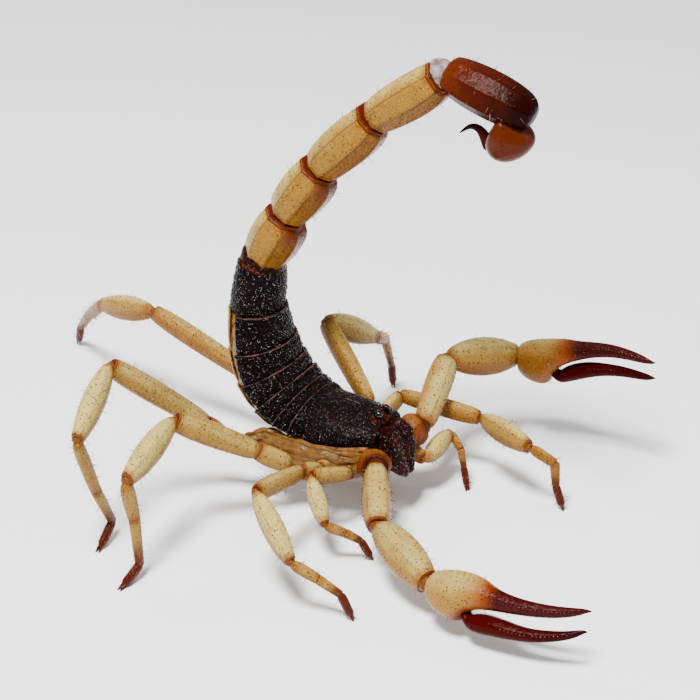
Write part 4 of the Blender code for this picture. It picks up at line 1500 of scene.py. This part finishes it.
def comb(name, finishes):
    """One of the two combs behind the legs, a bar with a row of teeth."""
    teeth = [
        lump("comb_tooth", ring.centre - UP * TOOTH_DROP * MM, TOOTH_RADIUS * MM, 10, ring.axes,
             (1, 3.2, 0.8))
        for ring in path_of(f"pecten_{name}", place_in("coxosternum", 0.5, 0, 0))
    ]
    bar = rounded(copy_of(f"pecten_{name}", f"comb_{name}", 0.02), 2)
    piece = joined(f"comb_{name}", [bar] + teeth)
    mark_plain(piece, 0.0, ends=3.0, hem=3.0)
    settle(piece, finishes["limb"], "straw_cuticle", f"pecten_{name}")


def underside(finishes):
    """The folds round the leg roots, the breastplate, the ribbons of skin and the combs."""
    for name in SIDES:
        coxal_fold(name, finishes)
    under = rounded(copy_of("coxosternum", "breastplate", 0.05), 3)
    grained(under, 1.3, 0.45, "CLOUDS")
    settle(under, finishes["skin"], "amber_cuticle", "coxosternum")
    for name in SIDES:
        ribbon(name, finishes)
        comb(name, finishes)


# ---------------------------------------------------------------- studio


FLOOR_SIZE = 6
WORLD_STRENGTH = 0.36
# Each light's place and size in metres and its power in watts.
LIGHTS = (
    ("Key", (-0.20, -0.02, 0.44), 0.11, 6.2),
    ("Fill", (0.20, -0.40, 0.24), 0.30, 0.9),
    ("Rim", (0.12, 0.32, 0.34), 0.15, 0.5),
)
LIGHTS_AIM = Vector((0, 0, 0.02))
# The camera: what it looks at, the way it stands from there in degrees, how far, and its lens in mm.
CAMERA_AIM = Vector((1.776, -8.5, 23.0)) * MM
CAMERA_AZIMUTH, CAMERA_ELEVATION = math.radians(-61), math.radians(27)
CAMERA_DISTANCE = 0.267
CAMERA_LENS = 101.5


def studio():
    """A pale floor, a soft key from high on the animal's right, a fill and a rim light."""
    bpy.ops.object.select_all(action="DESELECT")
    bpy.ops.mesh.primitive_plane_add(size=FLOOR_SIZE, location=(0, 0, 0))
    floor = bpy.context.object
    floor.name = "studio_floor"
    made, _, _ = new_material("Matt white studio floor", Base_Color="#ffffff", Roughness=0.9)
    floor.data.materials.append(made)
    world = bpy.data.worlds.new("Studio")
    world.use_nodes = True
    background = world.node_tree.nodes["Background"]
    background.inputs["Color"].default_value = (1, 1, 1, 1)
    background.inputs["Strength"].default_value = WORLD_STRENGTH
    bpy.context.scene.world = world
    for name, place, size, power in LIGHTS:
        light = bpy.data.lights.new(name, "AREA")
        light.size = size
        light.energy = power
        lamp = bpy.data.objects.new(name, light)
        lamp.location = place
        lamp.rotation_euler = (LIGHTS_AIM - Vector(place)).to_track_quat("-Z", "Y").to_euler()
        bpy.context.scene.collection.objects.link(lamp)


def camera():
    """Seen from above, from the right of the head."""
    lens = bpy.data.cameras.new("Camera")
    lens.lens = CAMERA_LENS
    lens.clip_start = 0.01
    eye = bpy.data.objects.new("Camera", lens)
    level = math.cos(CAMERA_ELEVATION)
    away = Vector((math.sin(CAMERA_AZIMUTH) * level, -math.cos(CAMERA_AZIMUTH) * level,
                   math.sin(CAMERA_ELEVATION)))
    eye.location = CAMERA_AIM + away * CAMERA_DISTANCE
    eye.rotation_euler = (-away).to_track_quat("-Z", "Y").to_euler()
    bpy.context.scene.collection.objects.link(eye)
    bpy.context.scene.camera = eye


# ---------------------------------------------------------------- the whole animal


def finish_set():
    """Every finish of the animal by its name here."""
    # The clear chitin of an eye, grown smooth over black: one sharp light on each lens.
    glassy, _, _ = new_material(
        "Black glassy lens", Base_Color="#030303", Roughness=0.06, IOR=1.5, Specular_IOR_Level=0.45)
    # Chitin of the hairs, grown as thin shafts: dull brown strokes.
    bristle, _, _ = new_material("Brown bristle chitin", Base_Color="#6b4423", Roughness=0.45)
    # Granules of tanned chitin, polished by wear: a bright point on each under a clear waxy layer.
    bead, _, _ = new_material(
        "Polished black-brown grains", Base_Color="#0e0505", Roughness=0.13, IOR=1.5,
        Specular_IOR_Level=0.62, Coat_Weight=0.35, Coat_Roughness=0.06)
    return {
        # Thin chitin, tanned only as far as straw and amber; a painted highlight makes it pale above and
        # painted shade makes it amber below.
        "limb": straw_cuticle("Straw limb cuticle", "#baa65e", "#92702e", "#74420e", "#420e02"),
        "arm": straw_cuticle("Straw pincer cuticle", "#ac9c58", "#906828", "#723e0c", "#420e02"),
        "tail": straw_cuticle("Straw tail cuticle", "#b29a50", "#86601c", "#663808", "#480e02"),
        "amber": straw_cuticle("Amber cuticle", "#7c4a18", "#66300a", "#4c1c04", "#280702"),
        # Thick chitin, fully tanned: black-brown plates, redder towards the head.
        "dark": dark_cuticle("Black-brown granular cuticle", "#070203", "#150706", "#54342a", 0.40),
        "shield": dark_cuticle(
            "Red-black granular shield cuticle", "#090304", "#1a0807", "#62402f", 0.36),
        "jaw": dark_cuticle(
            "Red-brown granular jaw cuticle", "#160302", "#3c0e06", "#4a2012", 0.46, 1.6),
        # Thick chitin, worn smooth: fingers, last tail joint and sting.
        "finger": glossy_cuticle("Wine-red finger cuticle", "#380301", "#340301", "#260201", 0.15, 0.03),
        "tail_end": glossy_cuticle("Chestnut tail cuticle", "#521e05", "#380d02", "#180302", 0.5, 0.022),
        "bulb": glossy_cuticle("Chestnut sting cuticle", "#4c1c06", "#3c1204", "#2c0602", 0.5, 0.06),
        "bead": bead,
        # Chitin left untanned: the skin between the plates and round the joints.
        "skin": soft_skin("Golden flank skin", "#7c5426", "#3a200e"),
        "fold": soft_skin("Brown skin round the hips", "#6a4820", "#53361a"),
        "membrane": soft_skin("Pale joint membrane", "#8e8688", "#5c4a40"),
        "eye": glassy,
        "bristle": bristle,
    }


def main():
    """Builds the trunk and head, then the tail, pincers and legs with their hairs, and the studio."""
    finishes = finish_set()
    nodes = trunk(finishes)
    skin(nodes, finishes)
    eyes = [middle(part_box(f"median_eye_{name}")) for name in SIDES]
    shield = head_shield(eyes, finishes)
    eye_set(eyes, shield, finishes)
    jaws(finishes)
    underside(finishes)
    roots, keel_grains = tail(finishes, TAIL_CELL)
    bristles("tail_bristles", roots, "tail", finishes)
    finger_grains = []
    for number, side in enumerate(SIDES):
        roots, finger_spots, arm_spots = pincer(side, finishes, number * PINCER_CELLS)
        bristles(f"pincer_bristles_{side}", roots, "pincer", finishes)
        finger_grains += finger_spots
        keel_grains += arm_spots
    grains("keel_grains", keel_grains, 0.10, finishes, "chestnut_cuticle")
    grains("finger_grains", finger_grains, 0.12, finishes, "chestnut_cuticle")
    roots = []
    for i, side in enumerate(SIDES):
        for number in range(1, 5):
            roots += leg(side, number, finishes, LEGS_CELL + (i * 4 + number) * LEG_CELLS)
    bristles("leg_bristles", roots, "leg", finishes)
    studio()
    camera()


main()
